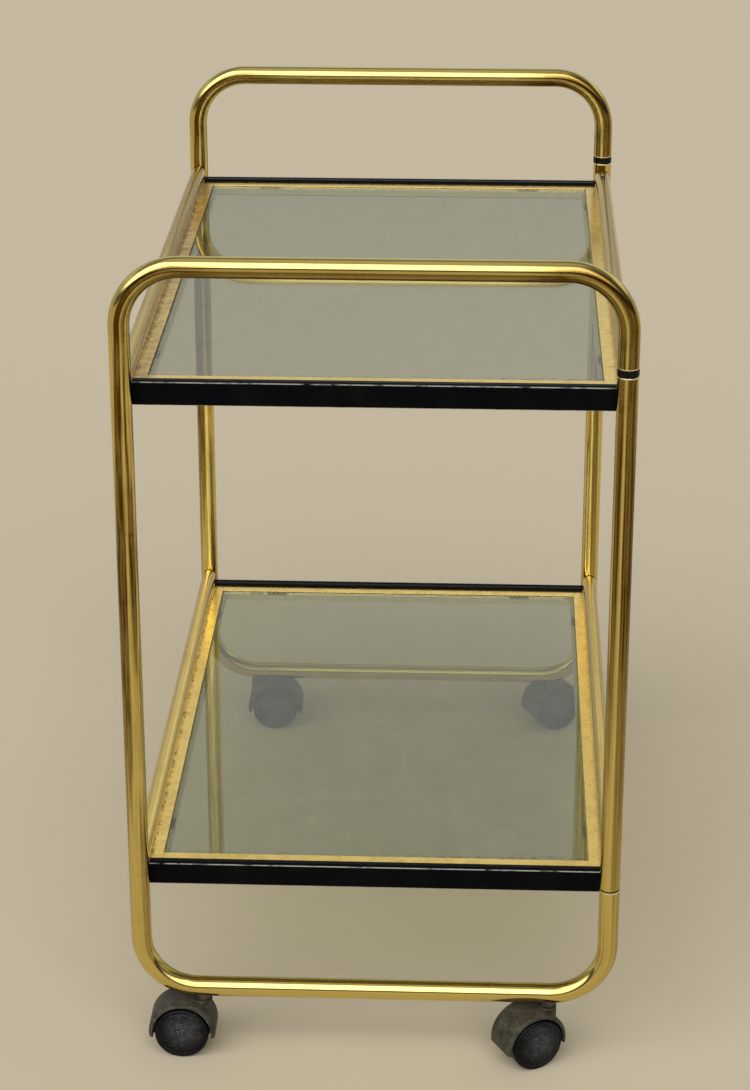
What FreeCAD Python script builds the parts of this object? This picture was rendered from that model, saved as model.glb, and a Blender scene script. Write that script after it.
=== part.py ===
import FreeCAD, Part
import math
import os

import Sketcher
from FreeCAD import Placement, Rotation, Vector

# Two-tier dessert trolley: two loops of bent brass-plated tube, joined by four round rails that
# carry two glazed trays, on four hooded twin-wheel castors.
# Frame: +X across (right), +Y along the trolley towards the back, +Z up, in millimetres.
# The origin lies on the floor, below the middle of the trays.

doc = FreeCAD.newDocument("dessert_trolley")

SIZES = {
    # Tube loops, one at each end. Distances run from tube axis to tube axis.
    "tube_diameter": 19.0,
    "tube_wall": 1.2,
    "frame_width": 437.5,
    "frame_length": 688.0,
    "frame_height": 710.0,
    "bend_radius": 53.0,
    # Joints in the right legs: a plug with a collar above, a plain plug below
    "upper_joint_rise": 17.2,
    "lower_joint_drop": 12.0,
    "collar_width": 7.0,
    "collar_proud": 0.4,
    "lower_joint_gap": 0.7,
    "plug_length": 28.0,
    "plug_clearance": 0.05,
    # Side rails, on the axes of the legs: the lower ones are set out from the bottom bar, the
    # upper ones from the handle
    "rail_diameter": 15.0,
    "rail_wall": 1.0,
    "lower_rail_rise": 126.5,
    "upper_rail_drop": 106.0,
    # Black end bars, just inside the legs
    "bar_thickness": 11.4,
    "bar_height": 21.4,
    "bar_round": 1.4,
    "bar_leg_gap": 3.4,
    "bar_end_gap": 0.2,
    "bar_drop": 2.8,
    # Folded edge strips round each pane
    "side_strip_width": 11.9,
    "end_strip_width": 14.7,
    "strip_depth": 12.7,
    "strip_sheet": 1.5,
    "strip_drop": 2.6,
    "strip_tuck": 0.8,
    "seam_gap": 0.05,
    "ledge_width": 4.4,
    # Panes and the pads that they lie on
    "glass_thickness": 5.0,
    "glass_recess": 1.0,
    "glass_clearance": 0.6,
    "glass_bevel": 0.6,
    "pad_thickness": 0.8,
    "pad_length": 22.0,
    "pad_width": 3.0,
    "pad_inset": 60.0,
    # Screws that hold the end bars to the end strips
    "screw_diameter": 3.2,
    "screw_reach": 8.0,
    "screw_tip_gap": 0.5,
    "screw_head_diameter": 6.0,
    "screw_head_height": 1.8,
    "screw_clearance": 0.05,
    "screw_spacing": 150.0,
    # Castors, set in from the legs to clear the bends. The hood is round about the axle, with a
    # flattened crown, and its feet reach below the axle.
    "castor_inset": 55.75,
    "castor_trail": 18.8,
    "wheel_diameter": 51.0,
    "wheel_gap": 2.3,
    "crown_wall": 1.9,
    "hood_wall": 3.8,
    "hood_width": 38.0,
    "hood_foot": 4.5,
    "hood_round": 4.5,
    "web_width": 13.0,
    "web_foot": 7.0,
    "boss_diameter": 19.0,
    "boss_height": 24.0,
    # Wheels, two to a castor, either side of the web
    "wheel_side_gap": 0.4,
    "tread_width": 12.7,
    "wheel_dome": 3.2,
    "wheel_round": 1.6,
    "rim_thickness": 4.0,
    "hub_diameter": 11.0,
    "disc_thickness": 3.0,
    "axle_diameter": 4.0,
    "axle_reach": 9.0,
    "axle_fit": 0.03,
    "wheel_fit": 0.06,
    # Stems and the sockets that they screw into
    "stem_diameter": 8.0,
    "stem_depth": 18.0,
    "stem_thread": 14.0,
    "stem_fit": 0.06,
    "stem_end_gap": 1.0,
    "stem_collar_diameter": 14.0,
    "stem_collar_height": 1.2,
    "swivel_gap": 0.3,
    "socket_rim_diameter": 16.0,
    "socket_rim": 1.5,
    "socket_diameter": 11.0,
    "socket_rise": 5.6,
    "socket_fit": 0.05,
    # Where each castor trails, in degrees from +X towards +Y
    "swing_front_left": 180.0,
    "swing_front_right": 209.0,
    "swing_back_left": 0.0,
    "swing_back_right": 29.0,
}

sheet = doc.addObject("Spreadsheet::Sheet", "sizes")
for row, (alias, number) in enumerate(SIZES.items(), start=1):
    sheet.set(f"A{row}", alias)
    sheet.set(f"B{row}", str(number))
    sheet.setAlias(f"B{row}", alias)
doc.recompute()

# Sizes worked out from the sheet, written as the expressions that the pieces are bound to
TUBE_R = "(sizes.tube_diameter / 2)"
BORE_R = "(sizes.tube_diameter / 2 - sizes.tube_wall)"
RAIL_R = "(sizes.rail_diameter / 2)"
LEG_X = "(sizes.frame_width / 2)"
LOOP_Y = "(sizes.frame_length / 2)"
CASTOR_X = f"({LEG_X} - sizes.castor_inset)"
WHEEL_R = "(sizes.wheel_diameter / 2)"
WHEEL_SPACE_R = f"({WHEEL_R} + sizes.wheel_gap)"
HOOD_R = f"({WHEEL_SPACE_R} + sizes.hood_wall)"
HOOD_TOP = "(sizes.wheel_diameter + sizes.wheel_gap + sizes.crown_wall)"
STEM_COLLAR_Z = f"({HOOD_TOP} + sizes.swivel_gap)"
SOCKET_Z = f"({STEM_COLLAR_Z} + sizes.stem_collar_height)"
BOTTOM_BAR_Z = f"({SOCKET_Z} + sizes.socket_rim + {TUBE_R})"
TOP_BAR_Z = f"({BOTTOM_BAR_Z} + sizes.frame_height)"
RAIL_Z = {
    "lower": f"({BOTTOM_BAR_Z} + sizes.lower_rail_rise)",
    "upper": f"({TOP_BAR_Z} - sizes.upper_rail_drop)",
}
COLLAR_Z = f"({RAIL_Z['upper']} + sizes.upper_joint_rise)"
SPLIT_Z = f"({RAIL_Z['lower']} - sizes.lower_joint_drop)"

# Tray sizes, with heights counted from the axis of the rails
BAR_OUTER_Y = f"({LOOP_Y} - {TUBE_R} - sizes.bar_leg_gap)"
BAR_INNER_Y = f"({BAR_OUTER_Y} - sizes.bar_thickness)"
BAR_END_X = f"({LEG_X} - sqrt({RAIL_R}^2 - sizes.bar_drop^2) - sizes.bar_end_gap)"
STRIP_TOP = "(sizes.bar_drop + sizes.strip_drop)"
STRIP_FOOT = f"({STRIP_TOP} + sizes.strip_depth)"
LEDGE_TOP = f"({STRIP_TOP} + sizes.glass_recess + sizes.glass_thickness + sizes.pad_thickness)"
LEDGE_FOOT = f"({LEDGE_TOP} + sizes.strip_sheet)"
STRIP_OUTER_X = f"({LEG_X} - {RAIL_R} + sizes.strip_tuck)"
SEAM_DROP = f"(sqrt({RAIL_R}^2 - ({RAIL_R} - sizes.strip_tuck)^2) + sizes.seam_gap)"
OPENING_X = f"({STRIP_OUTER_X} - sizes.side_strip_width)"
OPENING_Y = f"({BAR_INNER_Y} - sizes.end_strip_width)"
SCREW_DROP = f"({STRIP_TOP} + sizes.strip_depth / 2)"
SCREW_HOLE_R = "(sizes.screw_diameter / 2 + sizes.screw_clearance)"

ENDS = {"front": -1, "back": 1}
SIDES = {"left": -1, "right": 1}

nodes = []


def value(expression):
    return float(sheet.evalExpression(expression))


def bind(item, expressions):
    for path, expression in expressions.items():
        item.setExpression(path, expression)


def keep(item, label):
    item.Label = label
    nodes.append(item)
    return item


def new_body(label):
    return keep(doc.addObject("PartDesign::Body", label), label)


def turn_half(item):
    item.Placement = Placement(Vector(), Rotation(Vector(0, 0, 1), 180))


# --- Sketches ---


def new_sketch(body, plane, offset=("0", "0", "0")):
    sketch = body.newObject("Sketcher::SketchObject", "Sketch")
    support = next(item for item in body.Origin.OriginFeatures if item.Role == plane)
    sketch.AttachmentSupport = [(support, "")]
    sketch.MapMode = "FlatFace"
    bind(sketch, {f"AttachmentOffset.Base.{axis}": size for axis, size in zip("xyz", offset)})
    return sketch


def constrain(sketch, kind, piece, end, expression):
    rule = Sketcher.Constraint(kind, -1, 1, piece, end, value(expression))
    sketch.setExpression(f"Constraints[{sketch.addConstraint(rule)}]", expression)


def fix_point(sketch, piece, end, x, y):
    for kind, expression, zero_line in (("DistanceX", x, -2), ("DistanceY", y, -1)):
        if expression == "0":
            sketch.addConstraint(Sketcher.Constraint("PointOnObject", piece, end, zero_line))
        else:
            constrain(sketch, kind, piece, end, expression)


def add_outline(sketch, corners):
    first = sketch.GeometryCount
    points = [Vector(value(x), value(y), 0) for x, y in corners]
    for start, end in zip(points, points[1:] + points[:1]):
        sketch.addGeometry(Part.LineSegment(start, end))
    for side, (x, y) in enumerate(corners):
        following = first + (side + 1) % len(corners)
        sketch.addConstraint(Sketcher.Constraint("Coincident", first + side, 2, following, 1))
        fix_point(sketch, first + side, 1, x, y)


def add_box(sketch, left, right, low, high):
    add_outline(sketch, [(left, low), (right, low), (right, high), (left, high)])


def add_circle(sketch, radius, x="0", y="0"):
    centre = Vector(value(x), value(y), 0)
    piece = sketch.addGeometry(Part.Circle(centre, Vector(0, 0, 1), value(radius)))
    fix_point(sketch, piece, 3, x, y)
    rule = sketch.addConstraint(Sketcher.Constraint("Radius", piece, value(radius)))
    sketch.setExpression(f"Constraints[{rule}]", radius)


def add_bent_path(sketch, points, radius):
    # Upright and level runs in turn, joined by quarter bends that all turn left
    places = [Vector(value(x), value(y), 0) for x, y in points]
    bend = value(radius)
    last = len(points) - 2
    previous_arc = None
    for number in range(last + 1):
        along = (places[number + 1] - places[number]).normalize()
        start = places[number] + along * (bend if number > 0 else 0)
        end = places[number + 1] - along * (bend if number < last else 0)
        run = sketch.addGeometry(Part.LineSegment(start, end))
        upright = abs(along.y) > abs(along.x)
        sketch.addConstraint(Sketcher.Constraint("Vertical" if upright else "Horizontal", run))
        if upright:
            constrain(sketch, "DistanceX", run, 1, points[number][0])
        else:
            constrain(sketch, "DistanceY", run, 1, points[number][1])
        if number == 0:
            constrain(sketch, "DistanceY", run, 1, points[0][1])
        if number == last:
            constrain(sketch, "DistanceY", run, 2, points[-1][1])
        if previous_arc is not None:
            sketch.addConstraint(Sketcher.Constraint("Tangent", previous_arc, 2, run, 1))
        if number < last:
            centre = end + Vector(-along.y, along.x, 0) * bend
            begin = math.atan2(end.y - centre.y, end.x - centre.x)
            circle = Part.Circle(centre, Vector(0, 0, 1), bend)
            arc = sketch.addGeometry(Part.ArcOfCircle(circle, begin, begin + math.pi / 2))
            sketch.addConstraint(Sketcher.Constraint("Tangent", run, 2, arc, 1))
            rule = sketch.addConstraint(Sketcher.Constraint("Radius", arc, bend))
            sketch.setExpression(f"Constraints[{rule}]", radius)
            previous_arc = arc


# --- Features ---


def pad(body, sketch, length, side="One side", reverse=False):
    feature = body.newObject("PartDesign::Pad", "Pad")
    feature.Profile = sketch
    feature.SideType = side
    feature.Reversed = reverse
    feature.setExpression("Length", length)
    return feature


def pocket(body, sketch, length, side="One side", reverse=False):
    doc.recompute()
    before = body.Shape.Volume
    feature = body.newObject("PartDesign::Pocket", "Pocket")
    feature.Profile = sketch
    feature.SideType = side
    feature.Reversed = reverse
    feature.setExpression("Length", length)
    doc.recompute()
    if not body.Shape.Volume < before:
        raise RuntimeError(f"{body.Label}: a pocket cuts nothing")
    return feature


def dress(body, kind, edges, path, expression):
    base = body.Tip
    feature = body.newObject(kind, "Dressing")
    feature.Base = (base, edges)
    feature.setExpression(path, expression)
    return feature


def revolve(body, sketch):
    feature = body.newObject("PartDesign::Revolution", "Revolution")
    feature.Profile = sketch
    feature.ReferenceAxis = (sketch, ["V_Axis"])
    feature.Angle = 360
    return feature


def cylinder(radius, height, turn=None):
    item = doc.addObject("Part::Cylinder", "Cylinder")
    if turn:
        item.Placement = Placement(Vector(), turn)
    bind(item, {"Radius": radius, "Height": height})
    return item


def move(item, x="0", y="0", z="0"):
    bind(item, {f"Placement.Base.{axis}": size for axis, size in zip("xyz", (x, y, z))})
    return item


def combine(kind, base, tool):
    item = doc.addObject(kind, "Combined")
    item.Base = base
    item.Tool = tool
    return item


def group(label, items):
    item = doc.addObject("Part::Compound", label)
    item.Links = items
    return keep(item, label)


# --- Tube loops ---


def loop_tube(end, sign):
    # From the collar on the right leg over the handle, down the left leg and along the bottom
    body = new_body(f"{end}_loop_tube")
    collar_face = f"({COLLAR_Z} + sizes.collar_width / 2)"
    split_face = f"({SPLIT_Z} - sizes.lower_joint_gap / 2)"
    left_x = f"(0 - {LEG_X})"
    path = new_sketch(body, "XZ_Plane")
    points = [(LEG_X, collar_face), (LEG_X, TOP_BAR_Z), (left_x, TOP_BAR_Z)]
    points += [(left_x, BOTTOM_BAR_Z), (LEG_X, BOTTOM_BAR_Z), (LEG_X, split_face)]
    add_bent_path(path, points, "sizes.bend_radius")
    section = new_sketch(body, "XY_Plane", (LEG_X, "0", collar_face))
    add_circle(section, TUBE_R)
    add_circle(section, BORE_R)
    pipe = body.newObject("PartDesign::AdditivePipe", "Pipe")
    pipe.Profile = section
    pipe.Spine = (path, [f"Edge{number + 1}" for number in range(path.GeometryCount)])
    holes = new_sketch(body, "XY_Plane")
    for side in SIDES.values():
        add_circle(holes, "sizes.socket_diameter / 2", f"{side} * {CASTOR_X}")
    pocket(body, holes, BOTTOM_BAR_Z, reverse=True)
    move(body, y=f"{sign} * {LOOP_Y}")


def right_leg(end, sign):
    body = new_body(f"{end}_right_leg")
    foot = f"({SPLIT_Z} + sizes.lower_joint_gap / 2)"
    section = new_sketch(body, "XY_Plane")
    add_circle(section, TUBE_R)
    add_circle(section, BORE_R)
    pad(body, section, f"{COLLAR_Z} - sizes.collar_width / 2 - {foot}")
    move(body, LEG_X, f"{sign} * {LOOP_Y}", foot)


def leg_connector(end, sign):
    # A plug reaches into both tubes, and its collar shows between them
    body = new_body(f"{end}_leg_connector")
    section = new_sketch(body, "XY_Plane")
    add_circle(section, f"{BORE_R} - sizes.plug_clearance")
    pad(body, section, "2 * sizes.plug_length + sizes.collar_width", "Symmetric")
    collar = new_sketch(body, "XY_Plane")
    add_circle(collar, f"{TUBE_R} + sizes.collar_proud")
    pad(body, collar, "sizes.collar_width", "Symmetric")
    move(body, LEG_X, f"{sign} * {LOOP_Y}", COLLAR_Z)


def leg_spigot(end, sign):
    body = new_body(f"{end}_leg_spigot")
    section = new_sketch(body, "XY_Plane")
    add_circle(section, f"{BORE_R} - sizes.plug_clearance")
    pad(body, section, "2 * sizes.plug_length", "Symmetric")
    move(body, LEG_X, f"{sign} * {LOOP_Y}", SPLIT_Z)


def side_rail(level, side):
    # Coped at both ends to the round of the legs
    body = new_body(f"{level}_{side}_rail")
    section = new_sketch(body, "XZ_Plane")
    add_circle(section, RAIL_R)
    add_circle(section, f"{RAIL_R} - sizes.rail_wall")
    pad(body, section, "sizes.frame_length", "Symmetric")
    cope = new_sketch(body, "XY_Plane")
    add_circle(cope, TUBE_R, "0", LOOP_Y)
    add_circle(cope, TUBE_R, "0", f"(0 - {LOOP_Y})")
    pocket(body, cope, "2 * sizes.rail_diameter", "Symmetric")
    move(body, f"{SIDES[side]} * {LEG_X}", "0", RAIL_Z[level])


# --- Trays. End pieces are drawn at the front and side pieces at the right; half a turn makes
# the others. ---


def place_in_tray(body, level, turned):
    if turned:
        turn_half(body)
    move(body, z=RAIL_Z[level])


def screw_columns():
    return [f"{step} * sizes.screw_spacing" for step in (-1, 0, 1)]


def end_bar(level, end):
    body = new_body(f"{level}_{end}_bar")
    section = new_sketch(body, "YZ_Plane")
    inner = f"(0 - {BAR_INNER_Y})"
    outer = f"(0 - {BAR_OUTER_Y})"
    top = "(0 - sizes.bar_drop)"
    add_box(section, outer, inner, f"({top} - sizes.bar_height)", top)
    pad(body, section, f"2 * {BAR_END_X}", "Symmetric")
    holes = new_sketch(body, "XZ_Plane", ("0", "0", BAR_INNER_Y))
    for column in screw_columns():
        add_circle(holes, SCREW_HOLE_R, column, f"(0 - {SCREW_DROP})")
    pocket(body, holes, "sizes.screw_reach", reverse=True)
    long_edges = []
    for number, edge in enumerate(body.Shape.Edges, start=1):
        if edge.Length > value(BAR_END_X) and edge.CenterOfMass.y < value(f"{outer} + sizes.bar_round"):
            long_edges.append(f"Edge{number}")
    dress(body, "PartDesign::Fillet", long_edges, "Radius", "sizes.bar_round")
    place_in_tray(body, level, end == "back")


def strip_section(outer, inward, width, upstand):
    # Folded sheet: outer web, top flange, inner web, ledge for the pane, and a lip below it
    sheet_thickness = "sizes.strip_sheet"
    edge = f"({outer} + ({inward}) * {width})"
    ledge = f"({edge} + ({inward}) * sizes.ledge_width)"

    def inside(place, steps):
        return f"({place} + ({inward}) * ({steps}) * {sheet_thickness})"

    foot = f"(0 - {STRIP_FOOT})"
    top = f"(0 - {STRIP_TOP})"
    under_top = f"({top} - {sheet_thickness})"
    ledge_top = f"(0 - {LEDGE_TOP})"
    ledge_foot = f"(0 - {LEDGE_FOOT})"
    corners = [(outer, foot), (inside(outer, 1), foot), (inside(outer, 1), under_top)]
    corners += [(inside(edge, -1), under_top), (inside(edge, -1), ledge_foot)]
    corners += [(inside(ledge, -1), ledge_foot), (inside(ledge, -1), foot), (ledge, foot)]
    corners += [(ledge, ledge_top), (edge, ledge_top), (edge, top)]
    if upstand:
        corners += [(inside(outer, 1), top), (inside(outer, 1), upstand), (outer, upstand)]
    else:
        corners += [(outer, top)]
    return corners


def side_strip(level, side):
    # Runs from bar to bar; its upstand is brazed along the rail
    body = new_body(f"{level}_{side}_strip")
    section = new_sketch(body, "XZ_Plane")
    upstand = f"(0 - {SEAM_DROP})"
    add_outline(section, strip_section(STRIP_OUTER_X, "-1", "sizes.side_strip_width", upstand))
    pad(body, section, f"2 * {BAR_INNER_Y}", "Symmetric")
    place_in_tray(body, level, side == "left")


def end_strip(level, end):
    # Fits between the side strips and is notched over their ledges
    body = new_body(f"{level}_{end}_strip")
    section = new_sketch(body, "YZ_Plane")
    outer = f"(0 - {BAR_INNER_Y})"
    add_outline(section, strip_section(outer, "1", "sizes.end_strip_width", None))
    pad(body, section, f"2 * {OPENING_X}", "Symmetric")
    notch = new_sketch(body, "XZ_Plane")
    ledge_x = f"({OPENING_X} - sizes.ledge_width)"
    below = f"(0 - {STRIP_FOOT} - sizes.strip_sheet)"
    for side in SIDES.values():
        beyond = f"{side} * {STRIP_OUTER_X}"
        add_box(notch, f"{side} * {ledge_x}", beyond, below, f"(0 - {LEDGE_TOP})")
    pocket(body, notch, "sizes.frame_length", "Symmetric")
    holes = new_sketch(body, "XZ_Plane", ("0", "0", BAR_INNER_Y))
    for column in screw_columns():
        add_circle(holes, SCREW_HOLE_R, column, f"(0 - {SCREW_DROP})")
    pocket(body, holes, "2 * sizes.strip_sheet")
    place_in_tray(body, level, end == "back")


def glass_pane(level):
    body = new_body(f"{level}_glass")
    outline = new_sketch(body, "XY_Plane")
    half_x = f"({OPENING_X} - sizes.glass_clearance)"
    half_y = f"({OPENING_Y} - sizes.glass_clearance)"
    add_box(outline, f"(0 - {half_x})", half_x, f"(0 - {half_y})", half_y)
    pad(body, outline, "sizes.glass_thickness")
    doc.recompute()
    rims = []
    for number, edge in enumerate(body.Shape.Edges, start=1):
        if edge.BoundBox.ZLength < value("sizes.glass_thickness") / 2:
            rims.append(f"Edge{number}")
    dress(body, "PartDesign::Chamfer", rims, "Size", "sizes.glass_bevel")
    move(body, z=f"{RAIL_Z[level]} - {LEDGE_TOP} + sizes.pad_thickness")


def glass_pads(level):
    # Two on each side of the ledge
    pads = []
    foot = f"{RAIL_Z[level]} - {LEDGE_TOP}"
    margin = "(sizes.ledge_width - sizes.pad_width) / 2"
    row_x = f"({OPENING_X} - sizes.ledge_width / 2)"
    row_y = f"({OPENING_Y} - sizes.ledge_width / 2)"
    far_x = f"({row_x} - sizes.pad_inset)"
    far_y = f"({row_y} - sizes.pad_inset)"
    for first in (-1, 1):
        for second in (-1, 1):
            for long_side, x, y in (("Width", row_x, far_y), ("Length", far_x, row_y)):
                short_side = "Length" if long_side == "Width" else "Width"
                cushion = doc.addObject("Part::Box", "Pad")
                bind(cushion, {long_side: "sizes.pad_length", short_side: "sizes.pad_width"})
                cushion.setExpression("Height", "sizes.pad_thickness")
                half_x = "sizes.pad_width / 2" if long_side == "Width" else "sizes.pad_length / 2"
                half_y = "sizes.pad_length / 2" if long_side == "Width" else "sizes.pad_width / 2"
                move(cushion, f"{first} * {x} - {half_x}", f"{second} * {y} - {half_y}", foot)
                pads.append(cushion)
    group(f"{level}_glass_pads", pads)


def bar_screws(level):
    # Through the outer web of the end strip into the bar, heads inside the fold
    screws = []
    height = f"{RAIL_Z[level]} - {SCREW_DROP}"
    web_y = f"({BAR_INNER_Y} - sizes.strip_sheet)"
    for sign in ENDS.values():
        outward = Rotation(Vector(1, 0, 0), -90 * sign)
        for column in screw_columns():
            length = "sizes.strip_sheet + sizes.screw_reach - sizes.screw_tip_gap"
            shank = cylinder("sizes.screw_diameter / 2", length, outward)
            move(shank, column, f"{sign} * {web_y}", height)
            head = cylinder("sizes.screw_head_diameter / 2", "sizes.screw_head_height", outward)
            move(head, column, f"{sign} * ({web_y} - sizes.screw_head_height)", height)
            screws.append(combine("Part::Fuse", shank, head))
    group(f"{level}_bar_screws", screws)


# --- Castors. Each is drawn with its stem at the origin and its wheels trailing along +X. ---


def castor_sockets():
    # Plugs in the bottom bars, with a rim that is hollowed to the round of the tube
    sockets = []
    along_x = Rotation(Vector(0, 1, 0), 90)
    for sign in ENDS.values():
        for side in SIDES.values():
            x = f"{side} * {CASTOR_X}"
            y = f"{sign} * {LOOP_Y}"
            rim = cylinder("sizes.socket_rim_diameter / 2", f"{BOTTOM_BAR_Z} - {SOCKET_Z}")
            move(rim, x, y, SOCKET_Z)
            tube = cylinder(TUBE_R, "2 * sizes.socket_rim_diameter", along_x)
            move(tube, f"{x} - sizes.socket_rim_diameter", y, BOTTOM_BAR_Z)
            saddle = combine("Part::Cut", rim, tube)
            shank = cylinder(
                "sizes.socket_diameter / 2 - sizes.socket_fit",
                f"{BOTTOM_BAR_Z} - {SOCKET_Z} + sizes.socket_rise",
            )
            move(shank, x, y, SOCKET_Z)
            plug = combine("Part::Fuse", saddle, shank)
            bore = cylinder("sizes.stem_diameter / 2 + sizes.stem_fit", "2 * sizes.frame_height")
            move(bore, x, y)
            sockets.append(combine("Part::Cut", plug, bore))
    group("castor_sockets", sockets)


def castor_stem(corner, x, y):
    body = new_body(f"{corner}_castor_stem")
    profile = new_sketch(body, "XZ_Plane")
    stem_r = "sizes.stem_diameter / 2"
    collar_r = "sizes.stem_collar_diameter / 2"
    foot = f"({HOOD_TOP} - sizes.stem_depth)"
    corners = [("0", foot), (stem_r, foot), (stem_r, STEM_COLLAR_Z), (collar_r, STEM_COLLAR_Z)]
    corners += [(collar_r, SOCKET_Z), (stem_r, SOCKET_Z)]
    top = f"({SOCKET_Z} + sizes.stem_thread)"
    corners += [(stem_r, top), ("0", top)]
    add_outline(profile, corners)
    revolve(body, profile)
    move(body, x, y)


def place_castor(body, corner, x, y):
    body.Placement = Placement(Vector(), Rotation(Vector(0, 0, 1), value(f"sizes.swing_{corner}")))
    body.setExpression("Placement.Rotation.Angle", f"sizes.swing_{corner} * 1deg")
    move(body, x, y)


def castor_housing(corner, x, y):
    body = new_body(f"{corner}_castor_housing")
    axle = ("sizes.castor_trail", WHEEL_R, "0")
    far = f"(2 * {HOOD_R})"
    near = f"(0 - {far})"

    # Hood: a round arch over both wheels, open below, flat on top and rounded along its sides
    hood = new_sketch(body, "XZ_Plane", axle)
    add_circle(hood, HOOD_R)
    pad(body, hood, "sizes.hood_width", "Symmetric")
    doc.recompute()
    rims = []
    for number, edge in enumerate(body.Shape.Edges, start=1):
        if edge.BoundBox.YLength < value("sizes.hood_width") / 2:
            rims.append(f"Edge{number}")
    dress(body, "PartDesign::Fillet", rims, "Radius", "sizes.hood_round")
    below = new_sketch(body, "XZ_Plane", axle)
    add_box(below, near, far, near, "(0 - sizes.hood_foot)")
    pocket(body, below, "2 * sizes.hood_width", "Symmetric")
    above = new_sketch(body, "XZ_Plane", ("sizes.castor_trail", HOOD_TOP, "0"))
    add_box(above, near, far, "0", far)
    pocket(body, above, "2 * sizes.hood_width", "Symmetric")

    # Stem boss, cleared where the wheels turn
    boss = new_sketch(body, "XY_Plane", ("0", "0", HOOD_TOP))
    add_circle(boss, "sizes.boss_diameter / 2")
    pad(body, boss, "sizes.boss_height", reverse=True)
    wheel_space = new_sketch(body, "XZ_Plane", axle)
    add_circle(wheel_space, WHEEL_SPACE_R)
    pocket(body, wheel_space, "2 * sizes.hood_width", "Symmetric")

    # Web between the wheels, which holds the axle and the foot of the stem
    web = new_sketch(body, "XZ_Plane", axle)
    add_circle(web, f"{WHEEL_SPACE_R} + sizes.crown_wall / 2")
    pad(body, web, "sizes.web_width", "Symmetric")
    web_foot = new_sketch(body, "XZ_Plane", axle)
    add_box(web_foot, near, far, near, "(0 - sizes.web_foot)")
    pocket(body, web_foot, "2 * sizes.hood_width", "Symmetric")

    axle_hole = new_sketch(body, "XZ_Plane", axle)
    add_circle(axle_hole, "sizes.axle_diameter / 2 + sizes.axle_fit")
    pocket(body, axle_hole, "2 * sizes.hood_width", "Symmetric")
    stem_hole = new_sketch(body, "XY_Plane", ("0", "0", HOOD_TOP))
    add_circle(stem_hole, "sizes.stem_diameter / 2 + sizes.stem_fit")
    pocket(body, stem_hole, "sizes.stem_depth + sizes.stem_end_gap")
    place_castor(body, corner, x, y)


def castor_axle(corner, x, y):
    body = new_body(f"{corner}_castor_axle")
    section = new_sketch(body, "XZ_Plane", ("sizes.castor_trail", WHEEL_R, "0"))
    add_circle(section, "sizes.axle_diameter / 2")
    pad(body, section, "sizes.web_width + 2 * sizes.axle_reach", "Symmetric")
    place_castor(body, corner, x, y)


def castor_wheel(corner, side, sign, x, y):
    # Hollow on the inner side, with a bulging outer face. Left and right are the castor's own,
    # seen along its way of travel.
    body = new_body(f"{corner}_castor_{side}_wheel")
    profile = new_sketch(body, "XY_Plane", ("sizes.castor_trail", "0", WHEEL_R))
    inner = "(sizes.web_width / 2 + sizes.wheel_side_gap)"
    shoulder = f"({inner} + sizes.tread_width)"
    bore_r = "(sizes.axle_diameter / 2 + sizes.wheel_fit)"
    bore_end = "(sizes.web_width / 2 + sizes.axle_reach + sizes.wheel_side_gap)"
    hub_r = "(sizes.hub_diameter / 2)"
    rim_r = f"({WHEEL_R} - sizes.rim_thickness)"
    recess = f"({shoulder} - sizes.disc_thickness)"
    round_r = f"({WHEEL_R} - sizes.wheel_round)"
    corners = [("0", bore_end), (bore_r, bore_end), (bore_r, inner), (hub_r, inner)]
    corners += [(hub_r, recess), (rim_r, recess), (rim_r, inner), (round_r, inner)]
    corners += [(WHEEL_R, f"({inner} + sizes.wheel_round)")]
    corners += [(WHEEL_R, f"({shoulder} - sizes.wheel_round)"), (round_r, shoulder)]
    crown = f"({shoulder} + sizes.wheel_dome)"
    signed = [(across, f"({sign}) * {along}") for across, along in corners]

    # Straight sides first, then the bulge from the shoulder to the middle of the face
    points = [Vector(value(across), value(along), 0) for across, along in signed]
    for start, end in zip(points, points[1:]):
        profile.addGeometry(Part.LineSegment(start, end))
    for number, (across, along) in enumerate(signed[:-1]):
        fix_point(profile, number, 1, across, along)
        if number > 0:
            profile.addConstraint(Sketcher.Constraint("Coincident", number - 1, 2, number, 1))
    last = len(points) - 2
    fix_point(profile, last, 2, *signed[-1])
    middle = Vector(0, value(f"({sign}) * {crown}"), 0)
    edge = points[-1]
    rise = abs(middle.y - edge.y)
    bulge = (edge.x ** 2 + rise ** 2) / (2 * rise)
    centre = Vector(0, middle.y - sign * bulge, 0)
    angles = sorted(math.atan2(point.y - centre.y, point.x - centre.x) for point in (edge, middle))
    circle = Part.Circle(centre, Vector(0, 0, 1), bulge)
    arc = profile.addGeometry(Part.ArcOfCircle(circle, *angles))
    edge_end, middle_end = (1, 2) if sign > 0 else (2, 1)
    profile.addConstraint(Sketcher.Constraint("Coincident", arc, edge_end, last, 2))
    profile.addConstraint(Sketcher.Constraint("PointOnObject", arc, 3, -2))
    fix_point(profile, arc, middle_end, "0", f"({sign}) * {crown}")
    spine = profile.addGeometry(Part.LineSegment(middle, points[0]))
    profile.addConstraint(Sketcher.Constraint("Coincident", spine, 1, arc, middle_end))
    profile.addConstraint(Sketcher.Constraint("Coincident", spine, 2, 0, 1))
    revolve(body, profile)
    place_castor(body, corner, x, y)


# --- The trolley ---

for end_name, end_sign in ENDS.items():
    loop_tube(end_name, end_sign)
    right_leg(end_name, end_sign)
    leg_connector(end_name, end_sign)
    leg_spigot(end_name, end_sign)

for level_name in RAIL_Z:
    for side_name in SIDES:
        side_rail(level_name, side_name)
        side_strip(level_name, side_name)
    for end_name in ENDS:
        end_bar(level_name, end_name)
        end_strip(level_name, end_name)
    glass_pane(level_name)
    glass_pads(level_name)
    bar_screws(level_name)

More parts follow.
